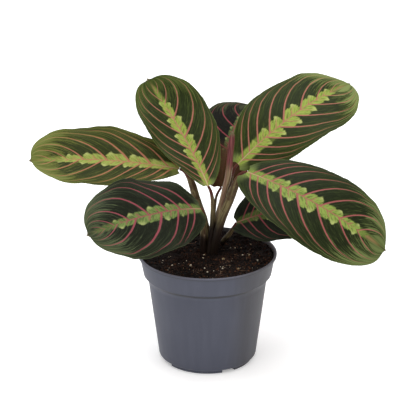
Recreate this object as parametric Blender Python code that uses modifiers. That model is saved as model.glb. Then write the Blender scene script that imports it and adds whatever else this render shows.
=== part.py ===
"""Potted prayer plant (Maranta leuconeura): a nursery pot, its soil, seven leaves and a rolled new leaf.

Each leaf is two pieces, a blade and the stalk that carries it out of the soil. The frame is in metres,
+Z up, with the origin at the centre of the pot's underside and the front at -Y. The driving dimensions
below are in millimetres and degrees."""

import math
import random
from dataclasses import dataclass

import bmesh
import bpy
from mathutils import Matrix, Vector, noise

MM = 0.001
GAP = 0.35  # between two pieces that touch
TURN_STEPS = 40  # of what is turned about the pot's axis
MERGE_DISTANCE = 0.00001  # metres
CUTTER_MARGIN = 4.0  # how far a cutter stands out of what it cuts

# Pot
POT_HEIGHT = 98.0
WALL = 1.6
EDGE = 0.5  # rounding of the lip and of the foot
LIP_RADIUS = 60.0
LIP_DEPTH = 1.7
BAND_TOP_RADIUS = 58.4
BAND_TOP = 94.8
BAND_BOTTOM_RADIUS = 55.6
BAND_BOTTOM = 80.0
SHOULDER_STEPS = 4  # of the soft step from the band in to the body
BODY_TOP_RADIUS = 51.2
BODY_TOP = 71.5
BODY_BOTTOM_RADIUS = 42.8
HEEL_WIDTH = 1.6  # rounding of the body's lower edge, across and up
HEEL_HEIGHT = 2.4
FOOT_RADIUS = 39.3
FOOT_HEIGHT = 3.6
DRAIN_COUNT = 4
DRAIN_FIRST_ANGLE = -62.0  # of the drain to the front right, from +X
DRAIN_ANGLE = 18.0
DRAIN_HEIGHT = 3.45
DRAIN_INNER_RADIUS = 33.5

# Soil
SOIL_EDGE = 92.5  # its height at the pot's wall
SOIL_MOUND = 2.0  # its rise from there to the pot's axis
SOIL_RINGS = 5
SOIL_RELIEF = 1.1
RELIEF_LENGTH = 9.0  # from one rise to the next
CROWN = (5.0, 9.0)  # where the stalks stand
CROWN_RADIUS = 17.0
HOLE_BOTTOM = 61.0
HOLE_TOP = 104.5
HOLE_SIDES = 12
HOLE_CLEARANCE = 0.6
CRUMB_COUNT = 34
CRUMB_SIZES = (1.1, 2.3)
CRUMB_REACH = 51.0  # the furthest from the pot's axis
CRUMB_SPACING = 1.0
CRUMB_LIFT = 0.1  # of its centre over the soil, per size
SOIL_SEED = 11

# Leaves
BLADE_ROWS = 22
BLADE_COLUMNS = 8
BLADE_THICKNESS = 0.9
LOBE = 0.018  # how far the lobes beside the stalk reach back, per length
BASE_HALF_WIDTH = 2.2
TIP_HALF_WIDTH = 1.0
TIP_POINT = 1.6
TIP_POINT_LENGTH = 3.0  # over which the point runs out into the margin
MIDRIB_SOFTNESS = 0.05
WAVE_FADE = 6.0  # a higher value carries the wave nearer to both ends
STALK_END_RADIUS = 1.2
STALK_STEPS = 4  # from one point of its route to the next
STALK_ROUNDNESS = 2


@dataclass
class Leaf:
    name: str
    base: tuple  # where the blade meets its stalk
    heading: float  # of the midrib there, from +X towards +Y
    pitch: float
    roll: float  # about the midrib: positive lifts the left half
    length: float
    half_width: float
    widest: float  # over 1 moves the widest place towards the tip
    bluntness: float  # lower makes both ends rounder
    droop: float  # how far the midrib turns down on its way to the tip
    sweep: float  # and to its left
    fold: float  # how steeply both halves rise from the midrib
    curl: float  # how far the margins fall back
    wave: float
    wave_count: float
    wave_phases: tuple  # at the left margin, at the right one
    stalk: tuple  # (x, y, z, radius) from the soil's surface up to near the blade


LEAVES = (
    Leaf(
        "left_upper", base=(-24.5, 20.5, 167), heading=152.5, pitch=1, roll=-27,
        length=132, half_width=34.5, widest=1.29, bluntness=0.39,
        droop=-22, sweep=40, fold=0.22, curl=0.05,
        wave=1.5, wave_count=2.8, wave_phases=(170, 310),
        stalk=(
            (-1.5, 10, 96, 2.6), (-1.5, 11, 108, 2.9), (-3, 12.5, 121, 3.1), (-7, 14.5, 132, 3.2),
            (-10.5, 16, 142, 3.1), (-14, 18, 154, 2.6), (-17.5, 19, 162, 1.7), (-20.5, 20, 165.5, 1.4),
        ),
    ),
    Leaf(
        "top_left", base=(0.5, -1, 159.5), heading=106.5, pitch=20.5, roll=-8.5,
        length=131, half_width=30.5, widest=1.41, bluntness=0.39,
        droop=-20, sweep=17, fold=0.33, curl=-0.02,
        wave=2, wave_count=2.1, wave_phases=(350, 190),
        stalk=(
            (2.5, 2, 96, 2.5), (3, 2, 106, 2.6), (4, 2, 119, 2.5), (4.5, 2, 130, 2.3),
            (4.5, 1.5, 140, 2.0), (4, 1, 147.5, 1.6), (2.5, 0, 154.5, 1.3),
        ),
    ),
    Leaf(
        "back_centre", base=(11, 27, 148), heading=87, pitch=38, roll=-2.5,
        length=122, half_width=31, widest=1.10, bluntness=0.48,
        droop=38, sweep=-17, fold=0.23, curl=0.07,
        wave=1.5, wave_count=2.6, wave_phases=(320, 0),
        stalk=(
            (5, 14.5, 96, 2.0), (5, 14.5, 112, 1.9), (5.5, 16.5, 126, 1.6), (6.5, 19, 134, 1.3),
            (8, 23, 141.5, 1.1),
        ),
    ),
    Leaf(
        "top_right", base=(26, 17.5, 172.5), heading=12.5, pitch=45.5, roll=31.5,
        length=137, half_width=41.5, widest=1.06, bluntness=0.53,
        droop=57, sweep=15, fold=0.17, curl=0.14,
        wave=3.5, wave_count=1.5, wave_phases=(320, 200),
        stalk=(
            (12, 13.5, 96, 2.0), (12, 13.5, 106, 2.1), (12.5, 14, 121, 2.0), (14.5, 14, 136, 1.8),
            (17, 14.5, 147, 1.6), (19.5, 15, 155, 1.5), (21.5, 15.5, 164, 1.3), (23, 16, 169, 1.2),
        ),
    ),
    Leaf(
        "right_front", base=(33.5, -10, 175.5), heading=-46.5, pitch=1, roll=25.5,
        length=141, half_width=39.5, widest=1.23, bluntness=0.39,
        droop=65, sweep=21, fold=0.12, curl=0.19,
        wave=2.5, wave_count=1.2, wave_phases=(50, 310),
        stalk=(
            (9, -0.5, 96, 2.8), (9, -1, 112, 3.1), (10.5, -2, 124.5, 3.3), (14, -3, 135.5, 3.5),
            (17.5, -3, 144.5, 3.6), (20.5, -3, 152.5, 3.6), (23.5, -3.5, 161.5, 3.2),
            (25.5, -3.5, 167.5, 1.7), (29, -6, 172.5, 1.3),
        ),
    ),
    Leaf(
        "left_front", base=(-5.5, -15, 144), heading=236.5, pitch=19, roll=-47.5,
        length=135, half_width=35.5, widest=1.18, bluntness=0.39,
        droop=29, sweep=6, fold=0.13, curl=0.16,
        wave=4, wave_count=2.1, wave_phases=(90, 350),
        stalk=(
            (-4.5, 2.5, 96, 2.6), (-4, 1, 111, 2.8), (-3, -2, 123, 2.4), (-3, -6, 132, 1.8),
            (-4, -11, 139.5, 1.4),
        ),
    ),
    Leaf(
        "right_low", base=(25, 16, 119), heading=-18, pitch=28.5, roll=48.5,
        length=89, half_width=30, widest=1.09, bluntness=0.48,
        droop=6, sweep=-27, fold=0.27, curl=0.04,
        wave=2, wave_count=2.4, wave_phases=(130, 340),
        stalk=((12, 20.5, 96, 2.0), (13, 20, 101, 2.1), (17.5, 18, 107.5, 2.1), (22.5, 16, 114.5, 1.6)),
    ),
)
NEW_LEAF = (
    (7, 8, 96, 2.5), (7.5, 7.5, 108, 2.6), (8.5, 6.5, 124, 2.6), (10.5, 6, 135.5, 2.5),
    (13, 6, 145.5, 2.3), (15, 6, 155.5, 2.1), (17, 6, 165, 2.3), (18, 6, 178.5, 2.5),
    (19, 6, 190, 2.4), (19.5, 6, 200, 1.7), (20.5, 6, 206.5, 0.6),
)

COLOURS = {
    "pot_plastic": ((0.100, 0.105, 0.138), 0.55),
    "potting_soil": ((0.013, 0.008, 0.006), 0.95),
    "leaf_olive": ((0.060, 0.085, 0.020), 0.45),
    "leaf_dark": ((0.022, 0.045, 0.018), 0.45),
    "stalk_olive": ((0.090, 0.065, 0.028), 0.50),
    "new_leaf_mauve": ((0.170, 0.035, 0.050), 0.50),
}
DARK_LEAVES = ("back_centre", "right_front", "left_front", "right_low")


def clear_scene():
    for old in list(bpy.data.objects):
        bpy.data.objects.remove(old, do_unlink=True)


def new_collection(name):
    collection = bpy.data.collections.new(name)
    bpy.context.scene.collection.children.link(collection)
    return collection


def new_material(name):
    colour, roughness = COLOURS[name]
    material = bpy.data.materials.new(name)
    material.use_nodes = True
    shader = material.node_tree.nodes["Principled BSDF"]
    shader.inputs["Base Color"].default_value = (*colour, 1.0)
    shader.inputs["Roughness"].default_value = roughness
    return material


def add_object(name, data, collection, material=None):
    obj = bpy.data.objects.new(name, data)
    collection.objects.link(obj)
    if material:
        data.materials.append(material)
    return obj


def mesh_from_bmesh(name, bm):
    mesh = bpy.data.meshes.new(name)
    bm.to_mesh(mesh)
    bm.free()
    return mesh


def as_mesh(obj):
    """Replaces the object's data with the mesh that its modifiers make."""
    graph = bpy.context.evaluated_depsgraph_get()
    mesh = bpy.data.meshes.new_from_object(obj.evaluated_get(graph))
    obj.modifiers.clear()
    obj.data = mesh


def turned(name, profile, collection, material):
    """A closed profile of (radius, height) turned about Z. It runs down its outer side."""
    bm = bmesh.new()
    verts = [bm.verts.new((r * MM, 0, z * MM)) for r, z in profile]
    for first, second in zip(verts, verts[1:]):
        bm.edges.new((first, second))
    obj = add_object(name, mesh_from_bmesh(name, bm), collection, material)
    screw = obj.modifiers.new("Screw", "SCREW")
    screw.steps = TURN_STEPS
    screw.render_steps = TURN_STEPS
    screw.use_merge_vertices = True
    screw.merge_threshold = MERGE_DISTANCE
    screw.use_smooth_shade = True
    return obj


def subtract(obj, cutters):
    """Cuts a collection of helpers from the object."""
    cut = obj.modifiers.new("Cut", "BOOLEAN")
    cut.operation = "DIFFERENCE"
    cut.operand_type = "COLLECTION"
    cut.collection = cutters
    cut.solver = "EXACT"


def hide(helper):
    helper.hide_render = True
    helper.display_type = "WIRE"


# Pot


def shoulder(inset=0):
    """The soft step from the body out to the band, upwards, as (radius, height)."""
    points = []
    for step in range(SHOULDER_STEPS + 1):
        share = step / SHOULDER_STEPS
        swell = share * share * (3 - 2 * share)
        radius = BODY_TOP_RADIUS + (BAND_BOTTOM_RADIUS - BODY_TOP_RADIUS) * swell
        points.append((radius - inset, BODY_TOP + (BAND_BOTTOM - BODY_TOP) * share))
    return points


def pot_inner_profile():
    """The wall's inner side from the floor's centre up to the lip, as (radius, height)."""
    return [
        (0, WALL),
        (FOOT_RADIUS - WALL, WALL),
        (FOOT_RADIUS - WALL, FOOT_HEIGHT + WALL),
        (BODY_BOTTOM_RADIUS - HEEL_WIDTH - WALL, FOOT_HEIGHT + WALL),
        (BODY_BOTTOM_RADIUS - WALL, FOOT_HEIGHT + HEEL_HEIGHT + WALL),
        *shoulder(inset=WALL),
        (LIP_RADIUS - EDGE - WALL, POT_HEIGHT - EDGE),
    ]


def pot_profile():
    half = math.sqrt(0.5)
    outer = [
        (LIP_RADIUS - WALL, POT_HEIGHT),
        (LIP_RADIUS - EDGE, POT_HEIGHT),
        (LIP_RADIUS, POT_HEIGHT - EDGE),
        (LIP_RADIUS, POT_HEIGHT - LIP_DEPTH),
        (BAND_TOP_RADIUS + EDGE, POT_HEIGHT - LIP_DEPTH - EDGE),
        (BAND_TOP_RADIUS, BAND_TOP),
        *reversed(shoulder()),
        (BODY_BOTTOM_RADIUS, FOOT_HEIGHT + HEEL_HEIGHT),
        (BODY_BOTTOM_RADIUS - HEEL_WIDTH * (1 - half), FOOT_HEIGHT + HEEL_HEIGHT * (1 - half)),
        (BODY_BOTTOM_RADIUS - HEEL_WIDTH, FOOT_HEIGHT),
        (FOOT_RADIUS, FOOT_HEIGHT),
        (FOOT_RADIUS, EDGE),
        (FOOT_RADIUS - EDGE, 0),
        (0, 0),
    ]
    return pot_inner_profile() + outer


def drain_cutter(angle, collection):
    """A wedge that opens the foot's edge, and the floor inside it, over DRAIN_ANGLE."""
    half = math.radians(DRAIN_ANGLE / 2)
    bm = bmesh.new()
    bmesh.ops.create_cube(bm, size=1)
    for vert in bm.verts:
        radius = BODY_BOTTOM_RADIUS + CUTTER_MARGIN if vert.co.x > 0 else DRAIN_INNER_RADIUS
        turn = math.radians(angle) + math.copysign(half, vert.co.y)
        height = DRAIN_HEIGHT if vert.co.z > 0 else -CUTTER_MARGIN
        vert.co = Vector((radius * math.cos(turn), radius * math.sin(turn), height)) * MM
    hide(add_object("drain_cutter", mesh_from_bmesh("drain_cutter", bm), collection))


def make_pot(parts, material):
    pot = turned("pot", pot_profile(), parts, material)
    drains = new_collection("drain_cutters")
    for index in range(DRAIN_COUNT):
        drain_cutter(DRAIN_FIRST_ANGLE + index * 360 / DRAIN_COUNT, drains)
    subtract(pot, drains)


# Soil


def soil_edge_radius():
    """The pot's inner radius where the soil meets it, less the gap."""
    low, high = pot_inner_profile()[-2:]
    share = (SOIL_EDGE - low[1]) / (high[1] - low[1])
    return low[0] + share * (high[0] - low[0]) - GAP


def soil_height(radius):
    return SOIL_EDGE + SOIL_MOUND * (1 - (radius / soil_edge_radius()) ** 2)


def soil_profile():
    """The pot's inside, a gap smaller all round, closed by the mound on top."""
    wall = [(max(r - GAP, 0), z + GAP) for r, z in pot_inner_profile()[:-1]]
    top = [soil_edge_radius() * (1 - ring / SOIL_RINGS) for ring in range(SOIL_RINGS + 1)]
    return wall + [(r, soil_height(r)) for r in top]


def ruffle(mesh):
    """Gives the soil's top an uneven height, and leaves its rim and sides alone."""
    for vert in mesh.vertices:
        if vert.co.z / MM > SOIL_EDGE + GAP:
            spot = Vector((vert.co.x, vert.co.y, 0)) / (RELIEF_LENGTH * MM)
            vert.co.z += noise.noise(spot) * SOIL_RELIEF * MM


def add_crumbs(collection):
    """Lumps of bark and perlite, about half sunk in the soil and clear of the crown and the wall."""
    draw = random.Random(SOIL_SEED)
    placed = []
    while len(placed) < CRUMB_COUNT:
        radius = CRUMB_REACH * math.sqrt(draw.random())
        turn = draw.uniform(0, 2 * math.pi)
        size = draw.uniform(*CRUMB_SIZES)
        x, y = radius * math.cos(turn), radius * math.sin(turn)
        clear = all(math.dist((x, y), other[:2]) > size + other[2] + CRUMB_SPACING for other in placed)
        if clear and math.dist((x, y), CROWN) > CROWN_RADIUS + size:
            placed.append((x, y, size))
    for x, y, size in placed:
        bm = bmesh.new()
        bmesh.ops.create_icosphere(bm, subdivisions=1, radius=size * MM)
        turned_by = Matrix.Rotation(draw.uniform(0, math.pi), 4, (draw.random(), 1, 0.3))
        squash = Matrix.Diagonal((draw.uniform(0.8, 1.3), 1, draw.uniform(0.6, 0.9), 1))
        height = soil_height(math.hypot(x, y)) + CRUMB_LIFT * size
        place = Matrix.Translation(Vector((x, y, height)) * MM)
        bmesh.ops.transform(bm, matrix=place @ squash @ turned_by, verts=bm.verts)
        hide(add_object("crumb", mesh_from_bmesh("crumb", bm), collection))


def stalk_hole(place, radius, collection):
    """A plain upright hole for a stalk."""
    bm = bmesh.new()
    bmesh.ops.create_cone(
        bm, cap_ends=True, segments=HOLE_SIDES, radius1=radius * MM, radius2=radius * MM,
        depth=(HOLE_TOP - HOLE_BOTTOM) * MM,
    )
    middle = Vector((place[0], place[1], (HOLE_TOP + HOLE_BOTTOM) / 2)) * MM
    bmesh.ops.translate(bm, vec=middle, verts=bm.verts)
    hide(add_object("stalk_hole", mesh_from_bmesh("stalk_hole", bm), collection))


def make_soil(parts, material):
    soil = turned("soil", soil_profile(), parts, material)
    as_mesh(soil)
    ruffle(soil.data)
    crumbs = new_collection("crumbs")
    add_crumbs(crumbs)
    fuse = soil.modifiers.new("Fuse", "BOOLEAN")
    fuse.operation = "UNION"
    fuse.operand_type = "COLLECTION"
    fuse.collection = crumbs
    as_mesh(soil)
    for crumb in list(crumbs.objects):
        bpy.data.objects.remove(crumb)
    holes = new_collection("stalk_holes")
    for route in [leaf.stalk for leaf in LEAVES] + [NEW_LEAF]:
        x, y, _, radius = route[0]
        stalk_hole((x, y), radius + HOLE_CLEARANCE, holes)
    subtract(soil, holes)


# Leaves


def base_axes(leaf):
    """The midrib's direction at the blade's base, the blade's left and its upper side."""
    heading, pitch = math.radians(leaf.heading), math.radians(leaf.pitch)
    along = Vector((
        math.cos(heading) * math.cos(pitch), math.sin(heading) * math.cos(pitch), math.sin(pitch),
    ))
    left = Vector((-math.sin(heading), math.cos(heading), 0))
    up = along.cross(left)
    roll = Matrix.Rotation(math.radians(leaf.roll), 3, along)
    return along, roll @ left, roll @ up


def half_width(leaf, u):
    swell = math.sin(math.pi * u**leaf.widest)
    least = BASE_HALF_WIDTH + (TIP_HALF_WIDTH - BASE_HALF_WIDTH) * u
    return max(leaf.half_width * max(swell, 0) ** leaf.bluntness, least)


def blade_point(leaf, u, v):
    """A point of the blade: u is 0 at its base and 1 at its tip, v is -1 at its right margin and 1 at
    its left."""
    along, left, up = base_axes(leaf)
    bend = math.hypot(leaf.droop, leaf.sweep)
    inward = (left * leaf.sweep - up * leaf.droop) / bend
    bend = math.radians(bend)
    turn = Matrix.Rotation(bend * u, 3, along.cross(inward))
    radius = leaf.length / bend
    midrib = Vector(leaf.base) + radius * (math.sin(bend * u) * along + (1 - math.cos(bend * u)) * inward)

    reach = half_width(leaf, u)
    rise = leaf.fold * (math.hypot(v, MIDRIB_SOFTNESS) - MIDRIB_SOFTNESS) - leaf.curl * v * v
    phase = leaf.wave_phases[0] if v > 0 else leaf.wave_phases[1]
    swing = math.sin(2 * math.pi * leaf.wave_count * u + math.radians(phase))
    wave = leaf.wave * v * v * swing * min(WAVE_FADE * u * (1 - u), 1)
    lobes = -LOBE * leaf.length * (1 - u) ** 6 * v**4
    point = TIP_POINT * math.exp(-(((1 - u) * leaf.length / TIP_POINT_LENGTH) ** 2)) * (1 - v * v)
    return midrib + turn @ (along * (lobes + point) + left * reach * v + up * (reach * rise + wave))


def make_blade(leaf, parts, material):
    bm = bmesh.new()
    bmesh.ops.create_grid(bm, x_segments=BLADE_ROWS, y_segments=BLADE_COLUMNS, size=1)
    for vert in bm.verts:
        u = (1 - math.cos(math.pi * (vert.co.x + 1) / 2)) / 2
        vert.co = blade_point(leaf, u, vert.co.y) * MM
    bmesh.ops.triangulate(bm, faces=bm.faces)
    name = "blade_" + leaf.name
    blade = add_object(name, mesh_from_bmesh(name, bm), parts, material)
    blade.data.shade_smooth()
    sheet = blade.modifiers.new("Solidify", "SOLIDIFY")
    sheet.thickness = BLADE_THICKNESS * MM
    sheet.offset = 0


def tube(name, route, parts, material):
    """A tapered stalk through (x, y, z, radius) points, which starts upright in its hole in the soil."""
    x, y, _, radius = route[0]
    foot = (x, y, HOLE_BOTTOM + GAP, radius)
    curve = bpy.data.curves.new(name, "CURVE")
    curve.dimensions = "3D"
    curve.bevel_depth = MM
    curve.bevel_resolution = STALK_ROUNDNESS
    curve.resolution_u = STALK_STEPS
    curve.use_fill_caps = True
    spline = curve.splines.new("BEZIER")
    points = (foot, *route)
    spline.bezier_points.add(len(points) - 1)
    for knot, (px, py, pz, thickness) in zip(spline.bezier_points, points):
        knot.co = Vector((px, py, pz)) * MM
        knot.radius = thickness
        knot.handle_left_type = "AUTO"
        knot.handle_right_type = "AUTO"
    add_object(name, curve, parts, material)


def make_stalk(leaf, parts, material):
    """The stalk, which stops just short of the blade's base."""
    base = Vector(leaf.base)
    arriving = (base - Vector(leaf.stalk[-1][:3])).normalized()
    end = base - arriving * (GAP + BLADE_THICKNESS / 2)
    tube("stalk_" + leaf.name, (*leaf.stalk, (*end, STALK_END_RADIUS)), parts, material)


def build():
    clear_scene()
    parts = new_collection("potted_prayer_plant")
    materials = {name: new_material(name) for name in COLOURS}
    make_pot(parts, materials["pot_plastic"])
    make_soil(parts, materials["potting_soil"])
    for leaf in LEAVES:
        green = "leaf_dark" if leaf.name in DARK_LEAVES else "leaf_olive"
        make_blade(leaf, parts, materials[green])
        make_stalk(leaf, parts, materials["stalk_olive"])
    tube("new_leaf", NEW_LEAF, parts, materials["new_leaf_mauve"])


build()
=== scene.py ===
"""Dresses the potted prayer plant (Maranta leuconeura): pot, soil, seven leaf blades, their stalks and
the rolled new leaf, each in its own section, on a pale studio floor. Lengths are in metres."""

import math

import bmesh
import bpy
from mathutils import Matrix, Vector


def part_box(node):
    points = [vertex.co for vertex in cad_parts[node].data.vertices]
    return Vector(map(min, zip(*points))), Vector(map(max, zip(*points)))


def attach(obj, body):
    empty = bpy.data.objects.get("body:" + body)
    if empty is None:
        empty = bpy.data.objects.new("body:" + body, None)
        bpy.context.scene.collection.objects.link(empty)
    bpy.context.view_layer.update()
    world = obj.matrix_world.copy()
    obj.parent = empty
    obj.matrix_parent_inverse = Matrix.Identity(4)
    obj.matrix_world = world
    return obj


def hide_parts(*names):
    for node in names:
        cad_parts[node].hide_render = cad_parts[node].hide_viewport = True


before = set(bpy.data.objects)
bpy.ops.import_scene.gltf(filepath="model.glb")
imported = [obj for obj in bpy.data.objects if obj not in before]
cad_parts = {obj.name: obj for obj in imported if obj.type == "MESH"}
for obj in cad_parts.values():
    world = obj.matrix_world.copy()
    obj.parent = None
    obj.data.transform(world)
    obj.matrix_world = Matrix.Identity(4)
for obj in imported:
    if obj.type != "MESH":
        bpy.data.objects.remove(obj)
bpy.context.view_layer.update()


# ---------------------------------------------------------------------------------------------------
# Pot: an injection-moulded nursery pot in satin grey-blue polypropylene. A rolled lip stands on a
# banded rim, a soft shoulder leads in to the tapered body, and drains are cut through the foot.

MM = 0.001
POT_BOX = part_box("pot")
LIP_RADIUS = POT_BOX[1].x
POT_HEIGHT = POT_BOX[1].z
POT_WALL = 1.6 * MM
POT_STEPS = 144
LIP_ROUNDING = 0.5 * MM
LIP_DEPTH = 1.7 * MM
# radius and height of the band's two edges, of the body's top and of the foot; width and height of the heel
BAND_TOP = (58.4 * MM, 94.8 * MM)
BAND_BOTTOM = (55.6 * MM, 80.0 * MM)
BODY_TOP = (51.2 * MM, 71.5 * MM)
FOOT = (39.3 * MM, 3.6 * MM)
HEEL = (1.6 * MM, 2.4 * MM)
BAND_SLOPE = (BAND_TOP[0] - BAND_BOTTOM[0]) / (BAND_TOP[1] - BAND_BOTTOM[1])
BODY_BOTTOM_RADIUS = 42.8 * MM
SHOULDER_STEPS = 14
SHOULDER_HOLLOW = 2.4  # over 1 keeps the step close under the band
BAND_ROUNDING = 1.1 * MM
ARC_STEPS = 5
DRAINS = 4
FIRST_DRAIN = math.radians(-62)
DRAIN_WIDTH = math.radians(18)
DRAIN_INNER_RADIUS = 33.5 * MM
DRAIN_HEIGHT = 3.45 * MM
POT_SHARP_ANGLE = math.radians(35)

POT_GREY_BLUE = (0.0470, 0.0512, 0.0745, 1)
POT_RIGHT_SIDE_SHADE = (0.0370, 0.0345, 0.0345, 1)
FLOW_MARK = (0.082, 0.087, 0.116, 1)
CLOUDY_GREY = (0.046, 0.049, 0.068, 1)
SCUFF = (0.15, 0.15, 0.17, 1)
LIP_HIGHLIGHT = (0.17, 0.165, 0.19, 1)
SHADE_UNDER_RIM = (0.022, 0.021, 0.022, 1)
DARKER_INNER_WALL = (0.026, 0.021, 0.020, 1)


class Wire:
    """A node's output that adds, multiplies and subtracts like a number and places the nodes for it."""

    def __init__(self, socket):
        self.socket = socket

    def __add__(self, other):
        return calculate("ADD", self, other)

    def __sub__(self, other):
        return calculate("SUBTRACT", self, other)

    def __mul__(self, other):
        return calculate("MULTIPLY", self, other)

    def __truediv__(self, other):
        return calculate("DIVIDE", self, other)

    def __pow__(self, other):
        return calculate("POWER", self, other)

    def __rsub__(self, other):
        return calculate("SUBTRACT", other, self)

    __radd__ = __add__
    __rmul__ = __mul__


def feed(socket, value):
    """Gives a socket a number, a colour, a vector or a wire."""
    if isinstance(value, Wire):
        socket.id_data.links.new(value.socket, socket)
    else:
        socket.default_value = value


def place(tree, kind, settings=(), output=0, **inputs):
    """Adds a node. Its inputs are named with _ for a space, and the named or numbered output comes back."""
    node = tree.nodes.new(kind)
    for name, value in dict(settings).items():
        setattr(node, name, value)
    for name, value in inputs.items():
        feed(node.inputs[name.replace("_", " ")], value)
    return Wire(node.outputs[output])


def tree_of(*values):
    """The node tree of the first wire among the values."""
    return next(value.socket.id_data for value in values if isinstance(value, Wire))


def calculate(operation, *values):
    """A sum on wires and numbers."""
    node = tree_of(*values).nodes.new("ShaderNodeMath")
    node.operation = operation
    for socket, value in zip(node.inputs, values):
        feed(socket, value)
    return Wire(node.outputs[0])


def math_of(operation):
    """A function that places this Math node."""
    def run(*values):
        return calculate(operation, *values)
    return run


absolute, maximum = math_of("ABSOLUTE"), math_of("MAXIMUM")


def vector(operation, first, second=(0, 0, 0), scale=None):
    """A sum on vectors; scale is given only where the first one is scaled."""
    node = tree_of(first, second, scale).nodes.new("ShaderNodeVectorMath")
    node.operation = operation
    feed(node.inputs[0], first)
    if scale is None:
        feed(node.inputs[1], second)
    else:
        feed(node.inputs["Scale"], scale)
    return Wire(node.outputs[0])


def ramp(value, low, high, smooth=True):
    """0 below low, 1 above high, and an even or a soft rise between."""
    way = {"interpolation_type": "SMOOTHSTEP" if smooth else "LINEAR"}
    return place(tree_of(value), "ShaderNodeMapRange", way, Value=value, From_Min=low, From_Max=high)


def between(value, low, full, fading, high):
    """0 below low and above high, 1 from full to fading."""
    return ramp(value, low, full) * ramp(value, high, fading)


def blend(share, first, second):
    """From the first colour to the second one as share goes from 0 to 1."""
    node = share.socket.id_data.nodes.new("ShaderNodeMix")
    node.data_type = "RGBA"
    feed(node.inputs[0], share)
    feed(node.inputs[6], first)
    feed(node.inputs[7], second)
    return Wire(node.outputs[2])


def layer(colour, *coats):
    """Lays coats over a colour, each given as (how much of it shows, its colour)."""
    for share, coat in coats:
        colour = blend(share, colour, coat)
    return colour


def combine(x=0.0, y=0.0, z=0.0):
    return place(tree_of(x, y, z), "ShaderNodeCombineXYZ", X=x, Y=y, Z=z)


def split(wire):
    """The x, y and z of a vector."""
    parts = place(tree_of(wire), "ShaderNodeSeparateXYZ", Vector=wire).socket.node
    return [Wire(socket) for socket in parts.outputs]


def position(tree):
    """The point on the piece, in a tree that makes a mesh or in a material."""
    if tree.bl_idname == "GeometryNodeTree":
        return place(tree, "GeometryNodeInputPosition")
    return place(tree, "ShaderNodeTexCoord", output="Object")


def in_plan(x, y):
    """The length of x and y together, seen from above."""
    return place(tree_of(x), "ShaderNodeVectorMath", {"operation": "LENGTH"}, output=1, Vector=combine(x, y))


def noise(at, scale, detail=2.0, roughness=0.5):
    return place(
        tree_of(at), "ShaderNodeTexNoise", Vector=at, Scale=scale, Detail=detail, Roughness=roughness,
    )


def new_finish(name):
    """A material and its node tree."""
    material = bpy.data.materials.new(name)
    material.use_nodes = True
    return material, material.node_tree


def finish(material, colour, roughness, gloss=0.5, relief=None, depth=0.0):
    """Feeds the shader its colour, roughness and gloss, and a small relief of this depth."""
    tree = material.node_tree
    shader = tree.nodes["Principled BSDF"]
    feed(shader.inputs["Base Color"], colour)
    feed(shader.inputs["Roughness"], roughness)
    shader.inputs["Specular IOR Level"].default_value = gloss
    if relief is not None:
        feed(shader.inputs["Normal"], place(tree, "ShaderNodeBump", Height=relief, Distance=depth))
    return material


def new_object(name, data):
    obj = bpy.data.objects.new(name, data)
    bpy.context.scene.collection.objects.link(obj)
    return obj


def bake_down(obj):
    """Turns the object into the plain mesh that its modifiers make, and returns the object that holds it."""
    name = obj.name
    graph = bpy.context.evaluated_depsgraph_get()
    mesh = bpy.data.meshes.new_from_object(obj.evaluated_get(graph))
    bpy.data.objects.remove(obj, do_unlink=True)
    mesh.name = name
    return new_object(name, mesh)


def stand_for(obj, slot, *nodes):
    """The piece rides on the plant's one body and stands for the CAD nodes. The slot is not used."""
    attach(obj, "root")
    if nodes:
        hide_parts(*nodes)


def turned_mesh(name, profile, steps):
    """A closed profile of (radius, height) turned about Z, with its faces outwards."""
    points, rings, faces = [], [], []
    for radius, height in profile:
        around = steps if radius > 0 else 1
        first = len(points)
        for step in range(around):
            turn = step * 2 * math.pi / steps
            points.append((radius * math.cos(turn), radius * math.sin(turn), height))
        rings.append([first + step % around for step in range(steps + 1)])
    for ring, following in zip(rings, rings[1:]):
        for step in range(steps):
            corners = (ring[step], following[step], following[step + 1], ring[step + 1])
            faces.append(tuple(dict.fromkeys(corners)))
    mesh = bpy.data.meshes.new(name)
    mesh.from_pydata(points, [], faces)
    bm = bmesh.new()
    bm.from_mesh(mesh)
    bmesh.ops.recalc_face_normals(bm, faces=bm.faces)
    bm.to_mesh(mesh)
    bm.free()
    return mesh


def arc(centre, radii, first, last):
    """Points (radius, height) of a round corner."""
    turns = [first + (last - first) * step / ARC_STEPS for step in range(ARC_STEPS + 1)]
    return [(centre[0] + radii[0] * math.cos(t), centre[1] + radii[1] * math.sin(t)) for t in turns]


def shoulder(inset=0.0):
    """The soft step from the body out to the band, upwards."""
    points = []
    for step in range(SHOULDER_STEPS + 1):
        share = step / SHOULDER_STEPS
        swell = share**SHOULDER_HOLLOW
        radius = BODY_TOP[0] + (BAND_BOTTOM[0] - BODY_TOP[0]) * swell
        points.append((radius - inset, BODY_TOP[1] + (BAND_BOTTOM[1] - BODY_TOP[1]) * share))
    return points


def pot_inside():
    """The wall's inner side from the floor's centre up to the lip."""
    foot_radius, foot_height = FOOT
    heel_width, heel_height = HEEL
    return [
        (0, POT_WALL),
        (foot_radius - POT_WALL, POT_WALL),
        (foot_radius - POT_WALL, foot_height + POT_WALL),
        (BODY_BOTTOM_RADIUS - heel_width - POT_WALL, foot_height + POT_WALL),
        (BODY_BOTTOM_RADIUS - POT_WALL, foot_height + heel_height + POT_WALL),
        *shoulder(inset=POT_WALL),
        (LIP_RADIUS - LIP_ROUNDING - POT_WALL, POT_HEIGHT - LIP_ROUNDING),
    ]


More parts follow.
